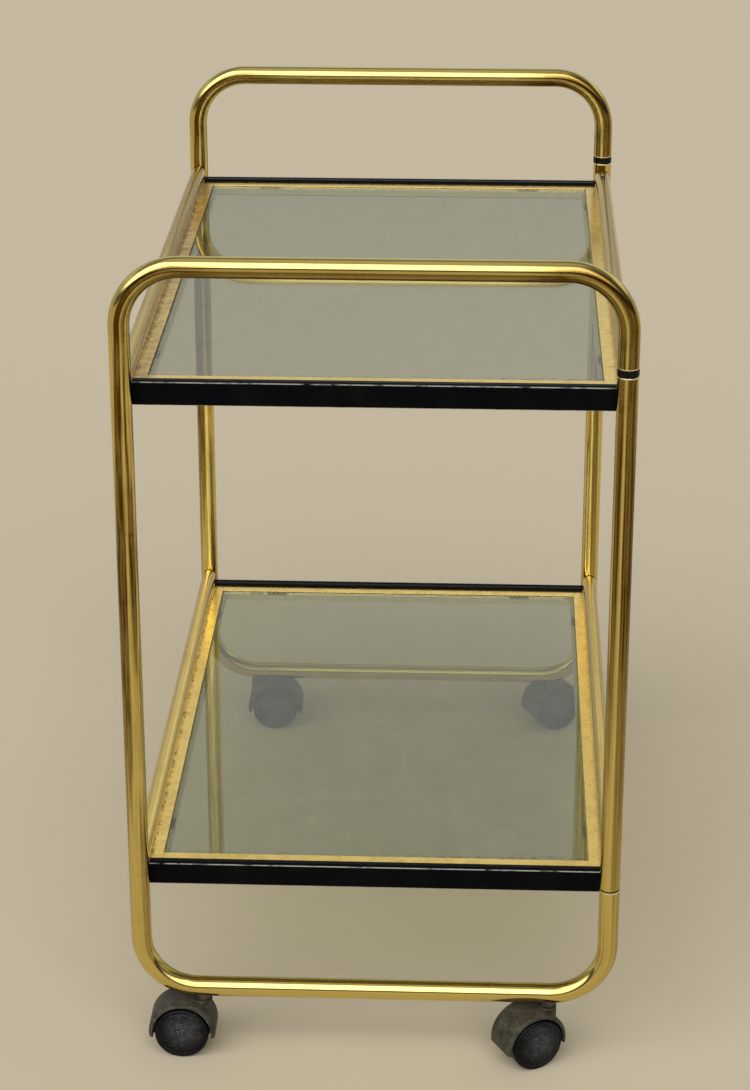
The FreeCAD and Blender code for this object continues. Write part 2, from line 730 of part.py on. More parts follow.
castor_sockets()
for end_name, end_sign in ENDS.items():
    for side_name, side_sign in SIDES.items():
        castor_name = f"{end_name}_{side_name}"
        stem_place = (f"{side_sign} * {CASTOR_X}", f"{end_sign} * {LOOP_Y}")
        castor_stem(castor_name, *stem_place)
        castor_housing(castor_name, *stem_place)
        castor_axle(castor_name, *stem_place)
        for wheel_side, wheel_sign in SIDES.items():
            castor_wheel(castor_name, wheel_side, wheel_sign, *stem_place)

doc.recompute()

for item in doc.Objects:
    if "Invalid" in item.State or "Error" in item.State:
        raise RuntimeError(f"{item.Label} failed: {item.State}")
for item in nodes:
    if item.Shape.isNull() or not item.Shape.isValid():
        raise RuntimeError(f"{item.Label} has no valid shape")

os.makedirs("parts", exist_ok=True)
for item in nodes:
    item.Shape.exportStep(f"parts/{item.Label}.step")
print(f"{len(nodes)} nodes written")
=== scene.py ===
import math

import bmesh
import bpy
from mathutils import Matrix, Vector


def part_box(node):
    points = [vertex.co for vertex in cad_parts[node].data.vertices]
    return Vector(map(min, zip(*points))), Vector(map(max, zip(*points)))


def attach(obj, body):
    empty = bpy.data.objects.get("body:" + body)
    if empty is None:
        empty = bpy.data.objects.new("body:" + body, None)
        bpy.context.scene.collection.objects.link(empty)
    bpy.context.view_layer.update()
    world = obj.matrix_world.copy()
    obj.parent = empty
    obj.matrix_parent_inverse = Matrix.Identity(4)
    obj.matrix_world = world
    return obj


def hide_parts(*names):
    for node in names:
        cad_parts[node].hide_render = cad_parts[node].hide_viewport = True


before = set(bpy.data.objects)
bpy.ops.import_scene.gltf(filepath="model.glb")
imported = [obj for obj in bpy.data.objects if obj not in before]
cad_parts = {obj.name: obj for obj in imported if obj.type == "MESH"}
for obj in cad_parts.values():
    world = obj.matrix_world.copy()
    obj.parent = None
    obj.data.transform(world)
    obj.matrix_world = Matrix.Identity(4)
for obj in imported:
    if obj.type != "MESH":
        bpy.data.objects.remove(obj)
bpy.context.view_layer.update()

# Two-tier dessert trolley. Sizes are in metres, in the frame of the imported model.
ends = {"front": -1, "back": 1}
sides = {"left": -1, "right": 1}
levels = ["lower", "upper"]


def middle(node):
    low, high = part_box(node)
    return (low + high) / 2


# Camera, where the photograph was taken from
photoView = {
    "place": (0.0979, -2.6328, 1.4966),
    "turn": 2.415,  # degrees to the left of +Y
    "tilt": 23.005,  # degrees down
    "roll": -0.055,
    "lens": 93.15,  # with 36 mm on the long side of the picture
}


def placeCamera():
    data = bpy.data.cameras.new("photoCamera")
    data.sensor_width = 36.0
    data.lens = photoView["lens"]
    data.clip_start = 0.05
    data.clip_end = 200.0
    camera = bpy.data.objects.new("photoCamera", data)
    bpy.context.scene.collection.objects.link(camera)
    turn = Matrix.Rotation(math.radians(photoView["turn"]), 4, "Z")
    tilt = Matrix.Rotation(math.radians(90.0 - photoView["tilt"]), 4, "X")
    roll = Matrix.Rotation(math.radians(photoView["roll"]), 4, "Z")
    camera.matrix_world = Matrix.Translation(photoView["place"]) @ turn @ tilt @ roll
    bpy.context.scene.camera = camera


placeCamera()
print("camera placed")


# Adds a node. Inputs are named or numbered, and are values or other nodes' outputs.
def addNode(tree, kind, inputs=None, **settings):
    node = tree.nodes.new(kind)
    for key, value in settings.items():
        setattr(node, key, value)
    for key, value in (inputs or {}).items():
        if isinstance(value, bpy.types.NodeSocket):
            tree.links.new(value, node.inputs[key])
        else:
            node.inputs[key].default_value = value
    return node


def newFinish(name, **constants):
    # A Principled material whose plain values sit on the shader's own sockets
    material = bpy.data.materials.new(name)
    material.use_nodes = True
    tree = material.node_tree
    shader = tree.nodes["Principled BSDF"]
    for key, value in constants.items():
        shader.inputs[key.replace("_", " ")].default_value = value
    return material, tree, shader


def stretched(tree, place, stretch):
    return addNode(tree, "ShaderNodeMapping", {"Vector": place, "Scale": stretch}).outputs["Vector"]


def objectPlace(tree, stretch=(1, 1, 1)):
    place = addNode(tree, "ShaderNodeTexCoord").outputs["Object"]
    return stretched(tree, place, stretch)


def markedPlace(tree, name):
    # What markPlaces has kept on the mesh
    return addNode(tree, "ShaderNodeAttribute", attribute_name=name).outputs["Vector"]


def tubePlace(tree, along=1.0):
    return stretched(tree, markedPlace(tree, "straightTube"), (1, 1, along))


def splitPlace(tree, place):
    return addNode(tree, "ShaderNodeSeparateXYZ", {"Vector": place}).outputs


def cloud(tree, place, scale, detail=3.0, roughness=0.55):
    inputs = {"Vector": place, "Scale": scale, "Detail": detail, "Roughness": roughness}
    return addNode(tree, "ShaderNodeTexNoise", inputs).outputs["Fac"]


def grains(tree, place, scale):
    # Distance to the nearest of many scattered points
    inputs = {"Vector": place, "Scale": scale}
    return addNode(tree, "ShaderNodeTexVoronoi", inputs).outputs["Distance"]


def ramp(tree, value, start, stop, low=0.0, high=1.0):
    # Goes from low to high as the value goes from start to stop
    inputs = {"Value": value, "From Min": start, "From Max": stop, "To Min": low, "To Max": high}
    return addNode(tree, "ShaderNodeMapRange", inputs, clamp=True).outputs["Result"]


def maths(tree, operation, *values):
    return addNode(tree, "ShaderNodeMath", dict(enumerate(values)), operation=operation).outputs[0]


def times(tree, first, second):
    return maths(tree, "MULTIPLY", first, second)


def plus(tree, first, second):
    return maths(tree, "ADD", first, second)


def tint(tree, share, first, second):
    inputs = {0: share, 6: first, 7: second}
    return addNode(tree, "ShaderNodeMix", inputs, data_type="RGBA").outputs[2]


def layer(tree, share, first, second):
    inputs = {0: share, 1: first.outputs[0], 2: second.outputs[0]}
    return addNode(tree, "ShaderNodeMixShader", inputs)


def feed(tree, shader, socket, value):
    tree.links.new(value, shader.inputs[socket])


def roughen(tree, shader, height, strength, distance):
    inputs = {"Height": height, "Strength": strength, "Distance": distance}
    feed(tree, shader, "Normal", addNode(tree, "ShaderNodeBump", inputs).outputs["Normal"])


# Where the tubes meet, for the finishes and the tubes themselves
legLow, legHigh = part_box("front_right_leg")
legX = (legLow.x + legHigh.x) / 2
tubeRadius = (legHigh.x - legLow.x) / 2
loopLow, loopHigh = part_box("front_loop_tube")
loopY = abs((loopLow.y + loopHigh.y) / 2)
barZ = {"top": loopHigh.z - tubeRadius, "bottom": loopLow.z + tubeRadius}
collarLow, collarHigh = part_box("front_leg_connector")
collarZ = (collarLow.z + collarHigh.z) / 2


# Finishes. A name that ends in Step holds a ramp: start, stop, and then low and high.
tubeBrass = {
    "bright": (0.79, 0.62, 0.20, 1),
    "deep": (0.11, 0.052, 0.004, 1),
    "spot": (0.10, 0.045, 0.015, 1),
    # Painted highlight on the tube rims at the joints, and painted shade in the gap of the lower
    # joint
    "lip": (0.98, 0.88, 0.58, 1),
    "seam": (0.03, 0.014, 0.005, 1),
    "roughness": (0.07, 0.18),
    # streaks: drawing lines, and a painted reflection of a darker room
    "streaksAndReflections": 0.95,
}
railBrass = {
    "bright": (0.80, 0.58, 0.17, 1),
    "deep": (0.26, 0.15, 0.025, 1),
    "spot": (0.13, 0.06, 0.02, 1),
    # painted shade round the joints with the legs
    "jointShade": (0.045, 0.022, 0.006, 1),
    "roughness": (0.16, 0.30),
    "streaksAndReflections": 0.55,
}
plating = {
    "fineScale": 560.0,
    "fineAlong": 0.012,
    "fineStep": (0.45, 0.62, 0.0, 0.34),
    "broadScale": 150.0,
    "broadAlong": 0.008,
    "broadStep": (0.45, 0.53, 0.0, 0.80),
    "speckleScale": 1300.0,
    "speckleStep": (0.54, 0.70, 0.0, 0.30),
    "tarnishScale": 22.0,
    "tarnishStep": (0.55, 0.80, 0.0, 0.22),
    "rareScale": 14.0,
    "rareStep": (0.60, 0.68),
    "spotScale": 210.0,
    "spotStep": (0.20, 0.10),
    "spotRoughness": 0.4,
    "roughStep": (0.3, 0.8),
    "legStep": (0.12, 0.19, 0.22, 1.0),  # from the bars out to the legs
    "heightStep": (0.16, 0.46, 0.45, 1.0),  # up the legs, where the streaks and painted reflection fade lower down
    "relief": 0.035,
    "reliefHeight": 0.0002,
}
# Painted reflection bands along the underside of the handle bars
handleReflectionBands = {
    "underStep": (-0.0002, -0.0014, 0.0, 0.80),
    "paleStep": (-0.0022, -0.0036, 0.0, -0.38),
    "footStep": (-0.0062, -0.0085, 0.0, 0.45),
    "heightStep": (0.70, 0.73),
    "sideStep": (0.20, 0.16),
}
tubeJoints = {
    "sideStep": (0.12, 0.16),
    "collarStep": (0.0048, 0.0043),
    "lipTopStep": (0.0, -0.0005),
    "lipFootStep": (-0.0026, -0.0019),
    "seamTopStep": (0.0009, 0.0004),
    "seamFootStep": (-0.0013, -0.0008),
    "jointShadeStep": (0.0124, 0.0108),
}


def markTubeJoints(tree, colour, look, place):
    # Painted highlights on the tube rims beside the collars and below the lower joint of the right
    # legs, and painted shade in the gap of the lower joint
    j = tubeJoints
    rightLeg = ramp(tree, place["X"], *j["sideStep"])
    apart = maths(tree, "ABSOLUTE", plus(tree, place["Z"], -collarZ))
    collarRimHighlight = times(tree, ramp(tree, apart, *j["collarStep"]), rightLeg)
    colour = tint(tree, collarRimHighlight, colour, look["lip"])
    above = plus(tree, place["Z"], -legLow.z)
    lip = times(tree, ramp(tree, above, *j["lipTopStep"]), ramp(tree, above, *j["lipFootStep"]))
    colour = tint(tree, times(tree, lip, rightLeg), colour, look["lip"])
    seam = times(tree, ramp(tree, above, *j["seamTopStep"]), ramp(tree, above, *j["seamFootStep"]))
    return tint(tree, times(tree, seam, rightLeg), colour, look["seam"])


def markJointShade(tree, colour, look, place, across):
    # Brazed to the legs, with a painted shade line round the joint
    sideways = maths(tree, "POWER", plus(tree, across, -legX), 2.0)
    along = maths(tree, "ABSOLUTE", place["Y"])
    endways = maths(tree, "POWER", plus(tree, along, -loopY), 2.0)
    gap = maths(tree, "SQRT", plus(tree, sideways, endways))
    return tint(tree, ramp(tree, gap, *tubeJoints["jointShadeStep"]), colour, look["jointShade"])


def paintedHandleReflection(tree, place, across):
    # Painted reflection on the handle bars: darker underneath, in lines along the bar, with a paler
    # band between
    h = handleReflectionBands
    inward = splitPlace(tree, tubePlace(tree))["X"]
    below = plus(tree, ramp(tree, inward, *h["underStep"]), ramp(tree, inward, *h["paleStep"]))
    below = plus(tree, below, ramp(tree, inward, *h["footStep"]))
    handle = times(
        tree, ramp(tree, place["Z"], *h["heightStep"]), ramp(tree, across, *h["sideStep"])
    )
    return times(tree, below, handle)


def makeTubeBrass(name, look):
    p = plating
    material, tree, shader = newFinish(name, Metallic=1.0)
    fine = cloud(tree, tubePlace(tree, p["fineAlong"]), p["fineScale"], 2.0)
    broad = cloud(tree, tubePlace(tree, p["broadAlong"]), p["broadScale"], 2.0, 0.45)
    tarnish = cloud(tree, tubePlace(tree), p["tarnishScale"], 5.0, 0.65)
    place = splitPlace(tree, objectPlace(tree))
    across = maths(tree, "ABSOLUTE", place["X"])
    # The bars stay bright, and the legs carry lengthwise streaks: drawing lines, and a painted
    # reflection of a darker room
    upright = ramp(tree, across, *p["legStep"])
    upright = times(tree, upright, ramp(tree, place["Z"], *p["heightStep"]))
    streaksAndReflections = plus(tree, ramp(tree, broad, *p["broadStep"]), ramp(tree, fine, *p["fineStep"]))
    streaksAndReflections = times(tree, times(tree, streaksAndReflections, upright), look["streaksAndReflections"])
    speckle = cloud(tree, tubePlace(tree), p["speckleScale"], 2.0)
    # worn holds wear and tarnish, and also the painted reflection streaks and bands
    worn = plus(tree, streaksAndReflections, ramp(tree, speckle, *p["speckleStep"]))
    worn = plus(tree, worn, ramp(tree, tarnish, *p["tarnishStep"]))
    if look is tubeBrass:
        # painted reflection bands under the handle bars
        worn = plus(tree, worn, paintedHandleReflection(tree, place, across))
    worn = ramp(tree, worn, 0.0, 1.0)
    # A few spots where the plating has gone
    rare = ramp(tree, cloud(tree, tubePlace(tree), p["rareScale"], 2.0), *p["rareStep"])
    spots = ramp(tree, grains(tree, tubePlace(tree), p["spotScale"]), *p["spotStep"])
    spots = times(tree, spots, rare)
    colour = tint(tree, worn, look["bright"], look["deep"])
    colour = tint(tree, spots, colour, look["spot"])
    if look is railBrass:
        colour = markJointShade(tree, colour, look, place, across)
    else:
        colour = markTubeJoints(tree, colour, look, place)
    feed(tree, shader, "Base Color", colour)
    dull = ramp(tree, tarnish, *p["roughStep"], *look["roughness"])
    feed(tree, shader, "Roughness", plus(tree, dull, times(tree, spots, p["spotRoughness"])))
    height = plus(tree, fine, times(tree, spots, -1.0))
    roughen(tree, shader, height, p["relief"], p["reliefHeight"])
    return material


stripBrass = {
    "bright": (0.98, 0.71, 0.21, 1),
    "dull": (0.80, 0.55, 0.15, 1),
    "red": (0.74, 0.46, 0.20, 1),
    "worn": (0.46, 0.29, 0.10, 1),
    "pit": (0.16, 0.09, 0.04, 1),
    "ledge": (0.80, 0.72, 0.46, 1),
    "mottleScale": 70.0,
    "dullStep": (0.50, 0.80),
    "redScale": 19.0,
    "redStep": (0.62, 0.76, 0.0, 0.16),
    "pitScale": 420.0,
    "pitStep": (0.26, 0.12),
    "pittedScale": 30.0,
    "pittedStep": (0.48, 0.62),
    "pitRoughness": 0.3,
    "pitDepth": -1.2,
    "morePits": 0.8,
    "wornSideStep": (-0.190, -0.204),
    "wornHeightStep": (0.50, 0.60),
    "wornStep": (0.38, 0.60, 0.25, 0.9),
    "ledgeInStep": (0.003, 0.006),
    "ledgeDownStep": (-0.0028, -0.0045),
    "ledgeRoughness": 0.5,
    # dirt and painted shade along the upstand beside the rails
    "grimeScale": 260.0,
    "grimeStep": (0.46, 0.60, 0.0, 0.75),
    "grimeSideStep": (0.10, -0.10, 0.25, 1.0),
    "grimeInStep": (0.0042, 0.0018),
    "grimeDownStep": (-0.0012, -0.0004),
    "roughStep": (0.3, 0.7, 0.20, 0.32),
    "relief": 0.16,
    "reliefHeight": 0.0003,
}


def makeStripBrass():
    b = stripBrass
    material, tree, shader = newFinish("brassStrip", Metallic=1.0)
    mottle = cloud(tree, objectPlace(tree), b["mottleScale"], 6.0, 0.7)
    blush = cloud(tree, objectPlace(tree, (1.3, 1, 1)), b["redScale"], 3.0)
    pitted = ramp(tree, cloud(tree, objectPlace(tree), b["pittedScale"], 3.0), *b["pittedStep"])
    pits = ramp(tree, grains(tree, objectPlace(tree), b["pitScale"]), *b["pitStep"])
    pits = times(tree, pits, pitted)
    colour = tint(tree, ramp(tree, mottle, *b["dullStep"]), b["bright"], b["dull"])
    colour = tint(tree, ramp(tree, blush, *b["redStep"]), colour, b["red"])
    # The upper left strip is the most worn, and the ledges under the panes are matt
    place = splitPlace(tree, objectPlace(tree))
    upperLeft = ramp(tree, place["X"], *b["wornSideStep"])
    upperLeft = times(tree, upperLeft, ramp(tree, place["Z"], *b["wornHeightStep"]))
    worn = times(tree, upperLeft, ramp(tree, mottle, *b["wornStep"]))
    colour = tint(tree, worn, colour, b["worn"])
    pits = times(tree, pits, plus(tree, upperLeft, b["morePits"]))
    fold = splitPlace(tree, markedPlace(tree, "fromFold"))
    sunken = times(
        tree, ramp(tree, fold["X"], *b["ledgeInStep"]), ramp(tree, fold["Z"], *b["ledgeDownStep"])
    )
    colour = tint(tree, sunken, colour, b["ledge"])
    # Dirt along the upstand beside the rails, with painted shade from the gap to the rail, more of
    # it on the left
    nearFold = times(
        tree, ramp(tree, fold["X"], *b["grimeInStep"]), ramp(tree, fold["Z"], *b["grimeDownStep"])
    )
    grimeAndShade = cloud(tree, objectPlace(tree, (1, 0.5, 1)), b["grimeScale"], 5.0, 0.7)
    grimeAndShade = ramp(tree, grimeAndShade, *b["grimeStep"])
    grimeAndShade = times(tree, grimeAndShade, ramp(tree, place["X"], *b["grimeSideStep"]))
    colour = tint(tree, times(tree, nearFold, grimeAndShade), colour, b["pit"])
    feed(tree, shader, "Base Color", tint(tree, pits, colour, b["pit"]))
    dull = ramp(tree, mottle, *b["roughStep"])
    dull = plus(tree, dull, times(tree, pits, b["pitRoughness"]))
    dull = plus(tree, dull, times(tree, sunken, b["ledgeRoughness"]))
    feed(tree, shader, "Roughness", dull)
    relief = plus(tree, mottle, times(tree, pits, b["pitDepth"]))
    relief = times(tree, relief, plus(tree, times(tree, sunken, -1.0), 1.0))
    roughen(tree, shader, relief, b["relief"], b["reliefHeight"])
    return material


barBlack = {
    "black": (0.0010, 0.0013, 0.0024, 1),
    "smeared": (0.0032, 0.0032, 0.0036, 1),
    "speck": (0.16, 0.15, 0.12, 1),
    # a painted highlight for the crest of the bead
    "rubbedAndHighlight": (0.42, 0.41, 0.36, 1),
    "specular": 0.05,
    "grainScale": 900.0,
    "smearScale": 28.0,
    "smearStep": (0.45, 0.75),
    "speckScale": 330.0,
    "speckStep": (0.10, 0.05),
    "speckyScale": 40.0,
    "speckyStep": (0.55, 0.66, 0.0, 0.5),
    "crestInStep": (0.32985, 0.33010),  # along Y, from the middle of the trolley
    "crestOutStep": (0.33095, 0.33070),
    "crestHighlightScale": 160.0,
    "rubbedAndHighlightStep": (0.36, 0.52),
    "crestHighlightShare": 0.75,
    "roughStep": (0.35, 0.7, 0.27, 0.42),
    "relief": 0.08,
    "reliefHeight": 0.0001,
}


def makeBarBlack():
    b = barBlack
    material, tree, shader = newFinish(
        "barBlack", Metallic=0.0, Specular_IOR_Level=b["specular"]
    )
    grain = cloud(tree, objectPlace(tree, (0.12, 1, 1)), b["grainScale"], 3.0)
    smear = cloud(tree, objectPlace(tree), b["smearScale"], 4.0, 0.6)
    specks = ramp(tree, grains(tree, objectPlace(tree), b["speckScale"]), *b["speckStep"])
    specky = ramp(tree, cloud(tree, objectPlace(tree), b["speckyScale"]), *b["speckyStep"])
    colour = tint(tree, ramp(tree, smear, *b["smearStep"]), b["black"], b["smeared"])
    colour = tint(tree, times(tree, specks, specky), colour, b["speck"])
    # A painted highlight runs along the crest of the bead, broken up like rubbing
    outward = maths(tree, "ABSOLUTE", splitPlace(tree, objectPlace(tree))["Y"])
    crest = times(
        tree, ramp(tree, outward, *b["crestInStep"]), ramp(tree, outward, *b["crestOutStep"])
    )
    rubbedAndHighlight = cloud(tree, objectPlace(tree, (0.4, 1, 1)), b["crestHighlightScale"], 4.0, 0.6)
    rubbedAndHighlight = times(tree, crest, ramp(tree, rubbedAndHighlight, *b["rubbedAndHighlightStep"]))
    colour = tint(tree, times(tree, rubbedAndHighlight, b["crestHighlightShare"]), colour, b["rubbedAndHighlight"])
    feed(tree, shader, "Base Color", colour)
    feed(tree, shader, "Roughness", ramp(tree, smear, *b["roughStep"]))
    roughen(tree, shader, grain, b["relief"], b["reliefHeight"])
    return material


collarBlack = {
    "black": (0.003, 0.003, 0.003, 1),
    "rubbedAndHighlight": (0.014, 0.013, 0.011, 1),
    "specular": 0.12,
    "rubScale": 450.0,
    "rubbedAndHighlightStep": (0.5, 0.8),
    "roughStep": (0.35, 0.75, 0.10, 0.26),
    "relief": 0.05,
    "reliefHeight": 0.0001,
}


def makeCollarBlack():
    b = collarBlack
    material, tree, shader = newFinish(
        "collarBlack", Metallic=0.0, Specular_IOR_Level=b["specular"]
    )
    rub = cloud(tree, objectPlace(tree, (1, 1, 4)), b["rubScale"], 4.0)
    colour = tint(tree, ramp(tree, rub, *b["rubbedAndHighlightStep"]), b["black"], b["rubbedAndHighlight"])
    feed(tree, shader, "Base Color", colour)
    feed(tree, shader, "Roughness", ramp(tree, rub, *b["roughStep"]))
    roughen(tree, shader, rub, b["relief"], b["reliefHeight"])
    return material


smokedGlass = {
    "body": (0.46, 0.48, 0.335, 1),
    "shade": (0.62, 0.62, 0.57, 1),
    "dust": (0.60, 0.60, 0.52, 1),
    "dirt": (0.085, 0.068, 0.040, 1),
    "roughStep": (0.35, 0.75, 0.0, 0.02),
    "filmScale": 35.0,
    "filmStep": (0.42, 0.80, 0.0, 0.05),
    "fineScale": 420.0,
    "fineStep": (0.52, 0.70, 0.0, 0.075),
    "lintScale": 300.0,
    "lintStep": (0.10, 0.05),
    "lintyScale": 25.0,
    "lintyStep": (0.50, 0.62),
    "lintShare": 0.45,
    "dirtEdgeStep": (-0.2955, -0.3040),  # towards the front edge
    "dirtSideStep": (0.02, 0.15, 0.35, 1.0),  # more of it on the right
    "crumbScale": 230.0,
    "crumbStep": (0.50, 0.60),
    "dirtShare": 0.8,
}


def makeGlass():
    g = smokedGlass
    material, tree, shader = newFinish(
        "smokedGlass", Metallic=0.0, Transmission_Weight=1.0, IOR=1.5, Base_Color=g["body"]
    )
    film = cloud(tree, objectPlace(tree), g["filmScale"], 6.0, 0.7)
    fine = cloud(tree, objectPlace(tree), g["fineScale"], 3.0, 0.6)
    lint = ramp(tree, grains(tree, objectPlace(tree), g["lintScale"]), *g["lintStep"])
    linty = ramp(tree, cloud(tree, objectPlace(tree), g["lintyScale"]), *g["lintyStep"])
    lint = times(tree, lint, linty)
    feed(tree, shader, "Roughness", ramp(tree, film, *g["roughStep"]))
    # Dust and lint lie on it
    share = plus(tree, ramp(tree, film, *g["filmStep"]), ramp(tree, fine, *g["fineStep"]))
    share = plus(tree, share, times(tree, lint, g["lintShare"]))
    dust = addNode(tree, "ShaderNodeBsdfDiffuse", {"Color": g["dust"]})
    seen = layer(tree, share, shader, dust)
    # Dirt lies along the front edge
    place = splitPlace(tree, objectPlace(tree))
    swept = times(
        tree, ramp(tree, place["Y"], *g["dirtEdgeStep"]), ramp(tree, place["X"], *g["dirtSideStep"])
    )
    crumbs = cloud(tree, objectPlace(tree, (0.6, 1, 1)), g["crumbScale"], 5.0, 0.7)
    share = times(tree, swept, ramp(tree, crumbs, *g["crumbStep"]))
    dirt = addNode(tree, "ShaderNodeBsdfDiffuse", {"Color": g["dirt"]})
    seen = layer(tree, times(tree, share, g["dirtShare"]), seen, dirt)
    # Light reaches what is below the pane
    clear = addNode(tree, "ShaderNodeBsdfTransparent", {"Color": g["shade"]})
    ray = addNode(tree, "ShaderNodeLightPath").outputs["Is Shadow Ray"]
    seen = layer(tree, ray, seen, clear)
    tree.links.new(seen.outputs[0], tree.nodes["Material Output"].inputs["Surface"])
    return material


padRubber = {
    "dark": (0.30, 0.27, 0.20, 1),
    "pale": (0.40, 0.37, 0.29, 1),
    "bloomScale": 240.0,
    "roughStep": (0.3, 0.7, 0.55, 0.8),
}


def makePadRubber():
    material, tree, shader = newFinish("padRubber", Metallic=0.0)
    bloom = cloud(tree, objectPlace(tree), padRubber["bloomScale"], 4.0)
    feed(tree, shader, "Base Color", tint(tree, bloom, padRubber["dark"], padRubber["pale"]))
    feed(tree, shader, "Roughness", ramp(tree, bloom, *padRubber["roughStep"]))
    return material


castorLooks = {
    "castorHood": {
        "black": (0.014, 0.012, 0.009, 1),
        "dust": (0.098, 0.087, 0.060, 1),
        "scuff": (0.24, 0.22, 0.18, 1),
        "dusty": 0.62,
        "rough": (0.40, 0.64),
        "specular": 0.25,
    },
    "castorWheel": {
        "black": (0.0025, 0.0028, 0.0036, 1),
        "dust": (0.082, 0.086, 0.088, 1),
        "scuff": (0.40, 0.40, 0.38, 1),
        "dusty": 0.60,
        "rough": (0.24, 0.46),
        "specular": 0.12,
    },
}
castorWear = {
    "textureScale": 2200.0,
    "scuffScale": 480.0,
    "scuffStep": (0.26, 0.12),
    "scuffedScale": 150.0,
    "scuffedStep": (0.47, 0.60, 0.0, 0.75),
    "dirtScale": 120.0,
    "dustStep": (0.36, 0.70),
    "roughStep": (0.3, 0.75),
    "relief": 0.12,
    "reliefHeight": 0.0002,
    # dust and a painted sheen on the crown of the wheel covers
    "crownDustAndSheen": 0.14,
    "crownDustAndSheenStep": (0.0215, 0.0060, 0.03, 1.0),  # in from the rim of a wheel
    "crownScuffStep": (0.0230, 0.0120, 0.08, 0.8),
}


def makeCastorNylon(name):
    look, w = castorLooks[name], castorWear
    material, tree, shader = newFinish(name, Metallic=0.0, Specular_IOR_Level=look["specular"])
    texture = cloud(tree, objectPlace(tree), w["textureScale"], 2.0)
    dirt = cloud(tree, objectPlace(tree), w["dirtScale"], 6.0, 0.75)
    scuffs = ramp(tree, grains(tree, objectPlace(tree), w["scuffScale"]), *w["scuffStep"])
    scuffed = ramp(tree, cloud(tree, objectPlace(tree), w["scuffedScale"]), *w["scuffedStep"])
    scuffs = times(tree, scuffs, scuffed)
    dust = ramp(tree, dirt, *w["dustStep"], 0.0, look["dusty"])
    if name == "castorWheel":
        # Dust and a painted sheen gather on the crown of the cover, a little above the hub, fading
        # to plain black at the rim as painted shade
        hub = markedPlace(tree, "fromHub")
        reach = addNode(tree, "ShaderNodeVectorMath", {0: hub}, operation="LENGTH").outputs["Value"]
        dust = plus(tree, dust, w["crownDustAndSheen"])
        dust = times(tree, dust, ramp(tree, reach, *w["crownDustAndSheenStep"]))
        scuffs = times(tree, scuffs, ramp(tree, reach, *w["crownScuffStep"]))
    colour = tint(tree, dust, look["black"], look["dust"])
    feed(tree, shader, "Base Color", tint(tree, scuffs, colour, look["scuff"]))
    feed(tree, shader, "Roughness", ramp(tree, dirt, *w["roughStep"], *look["rough"]))
    roughen(tree, shader, plus(tree, texture, dirt), w["relief"], w["reliefHeight"])
    return material


zincSteel = {
    "bright": (0.17, 0.16, 0.14, 1),
    "dark": (0.06, 0.055, 0.045, 1),
    "spangleScale": 260.0,
    "roughStep": (0.3, 0.7, 0.36, 0.6),
}


def makeZincSteel():
    material, tree, shader = newFinish("zincSteel", Metallic=1.0)
    spangle = cloud(tree, objectPlace(tree), zincSteel["spangleScale"], 4.0, 0.6)
    feed(tree, shader, "Base Color", tint(tree, spangle, zincSteel["bright"], zincSteel["dark"]))
    feed(tree, shader, "Roughness", ramp(tree, spangle, *zincSteel["roughStep"]))
    return material


finishes = {
    "brass_plate": makeTubeBrass("brassPlate", tubeBrass),
    "brass_rail": makeTubeBrass("brassRail", railBrass),
    "brass_strip": makeStripBrass(),
    "black_bar": makeBarBlack(),
    "black_collar": makeCollarBlack(),
    "smoked_glass": makeGlass(),
    "pad_rubber": makePadRubber(),
    "castor_hood": makeCastorNylon("castorHood"),
    "castor_wheel": makeCastorNylon("castorWheel"),
    "zinc_steel": makeZincSteel(),
}
print("finishes made")


# Turns a bmesh into a smooth piece that rides on its body and stands for its CAD nodes
def addPiece(bm, name, finish, body, stoodFor):
    mesh = bpy.data.meshes.new(name)
    for face in bm.faces:
        face.smooth = True
    bm.to_mesh(mesh)
    bm.free()
    mesh.materials.append(finishes[finish])
    piece = bpy.data.objects.new(name, mesh)
    bpy.context.scene.collection.objects.link(piece)
    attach(piece, body)
    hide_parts(*stoodFor)
    return piece


def softenEdges(piece, width, segments=3, limit=35.0):
    soften = piece.modifiers.new("softEdges", "BEVEL")
    soften.affect = "EDGES"
    soften.width = width
    soften.segments = segments
    soften.profile = 0.5
    soften.limit_method = "ANGLE"
    soften.angle_limit = math.radians(limit)
    soften.harden_normals = True


def giveWall(piece, wall):
    shell = piece.modifiers.new("wall", "SOLIDIFY")
    shell.thickness = wall
    shell.offset = -1.0


def sharpen(mesh, degrees):
    mesh.set_sharp_from_angle(angle=math.radians(degrees))


def edgesOf(made):
    return [item for item in made if isinstance(item, bmesh.types.BMEdge)]


def vertsOf(made):
    return [item for item in made if isinstance(item, bmesh.types.BMVert)]


def startRing(bm, radius, segments, place, along):
    ring = bmesh.ops.create_circle(bm, radius=radius, segments=segments)["verts"]
    turn = Vector((0, 0, 1)).rotation_difference(Vector(along)).to_matrix().to_4x4()
    bmesh.ops.transform(bm, matrix=Matrix.Translation(place) @ turn, verts=ring)
    return list(bm.edges)


def pushRing(bm, ring, step):
    made = bmesh.ops.extrude_edge_only(bm, edges=ring)["geom"]
    moved = set(vertsOf(made))
    bmesh.ops.translate(bm, verts=list(moved), vec=step)
    return [edge for edge in edgesOf(made) if set(edge.verts) <= moved]


def bendRing(bm, ring, centre, axis, steps):
    made = bmesh.ops.spin(
        bm, geom=ring, cent=centre, axis=axis, angle=math.pi / 2, steps=steps, use_merge=False
    )
    return edgesOf(made["geom_last"])


def prism(bm, outline, start, step):
    # A flat outline, pushed along step to a closed solid
    corners = [bm.verts.new(Vector(start) + Vector(place)) for place in outline]
    face = bm.faces.new(corners)
    made = bmesh.ops.extrude_face_region(bm, geom=[face])["geom"]
    bmesh.ops.translate(bm, verts=vertsOf(made), vec=step)
    bmesh.ops.recalc_face_normals(bm, faces=bm.faces)


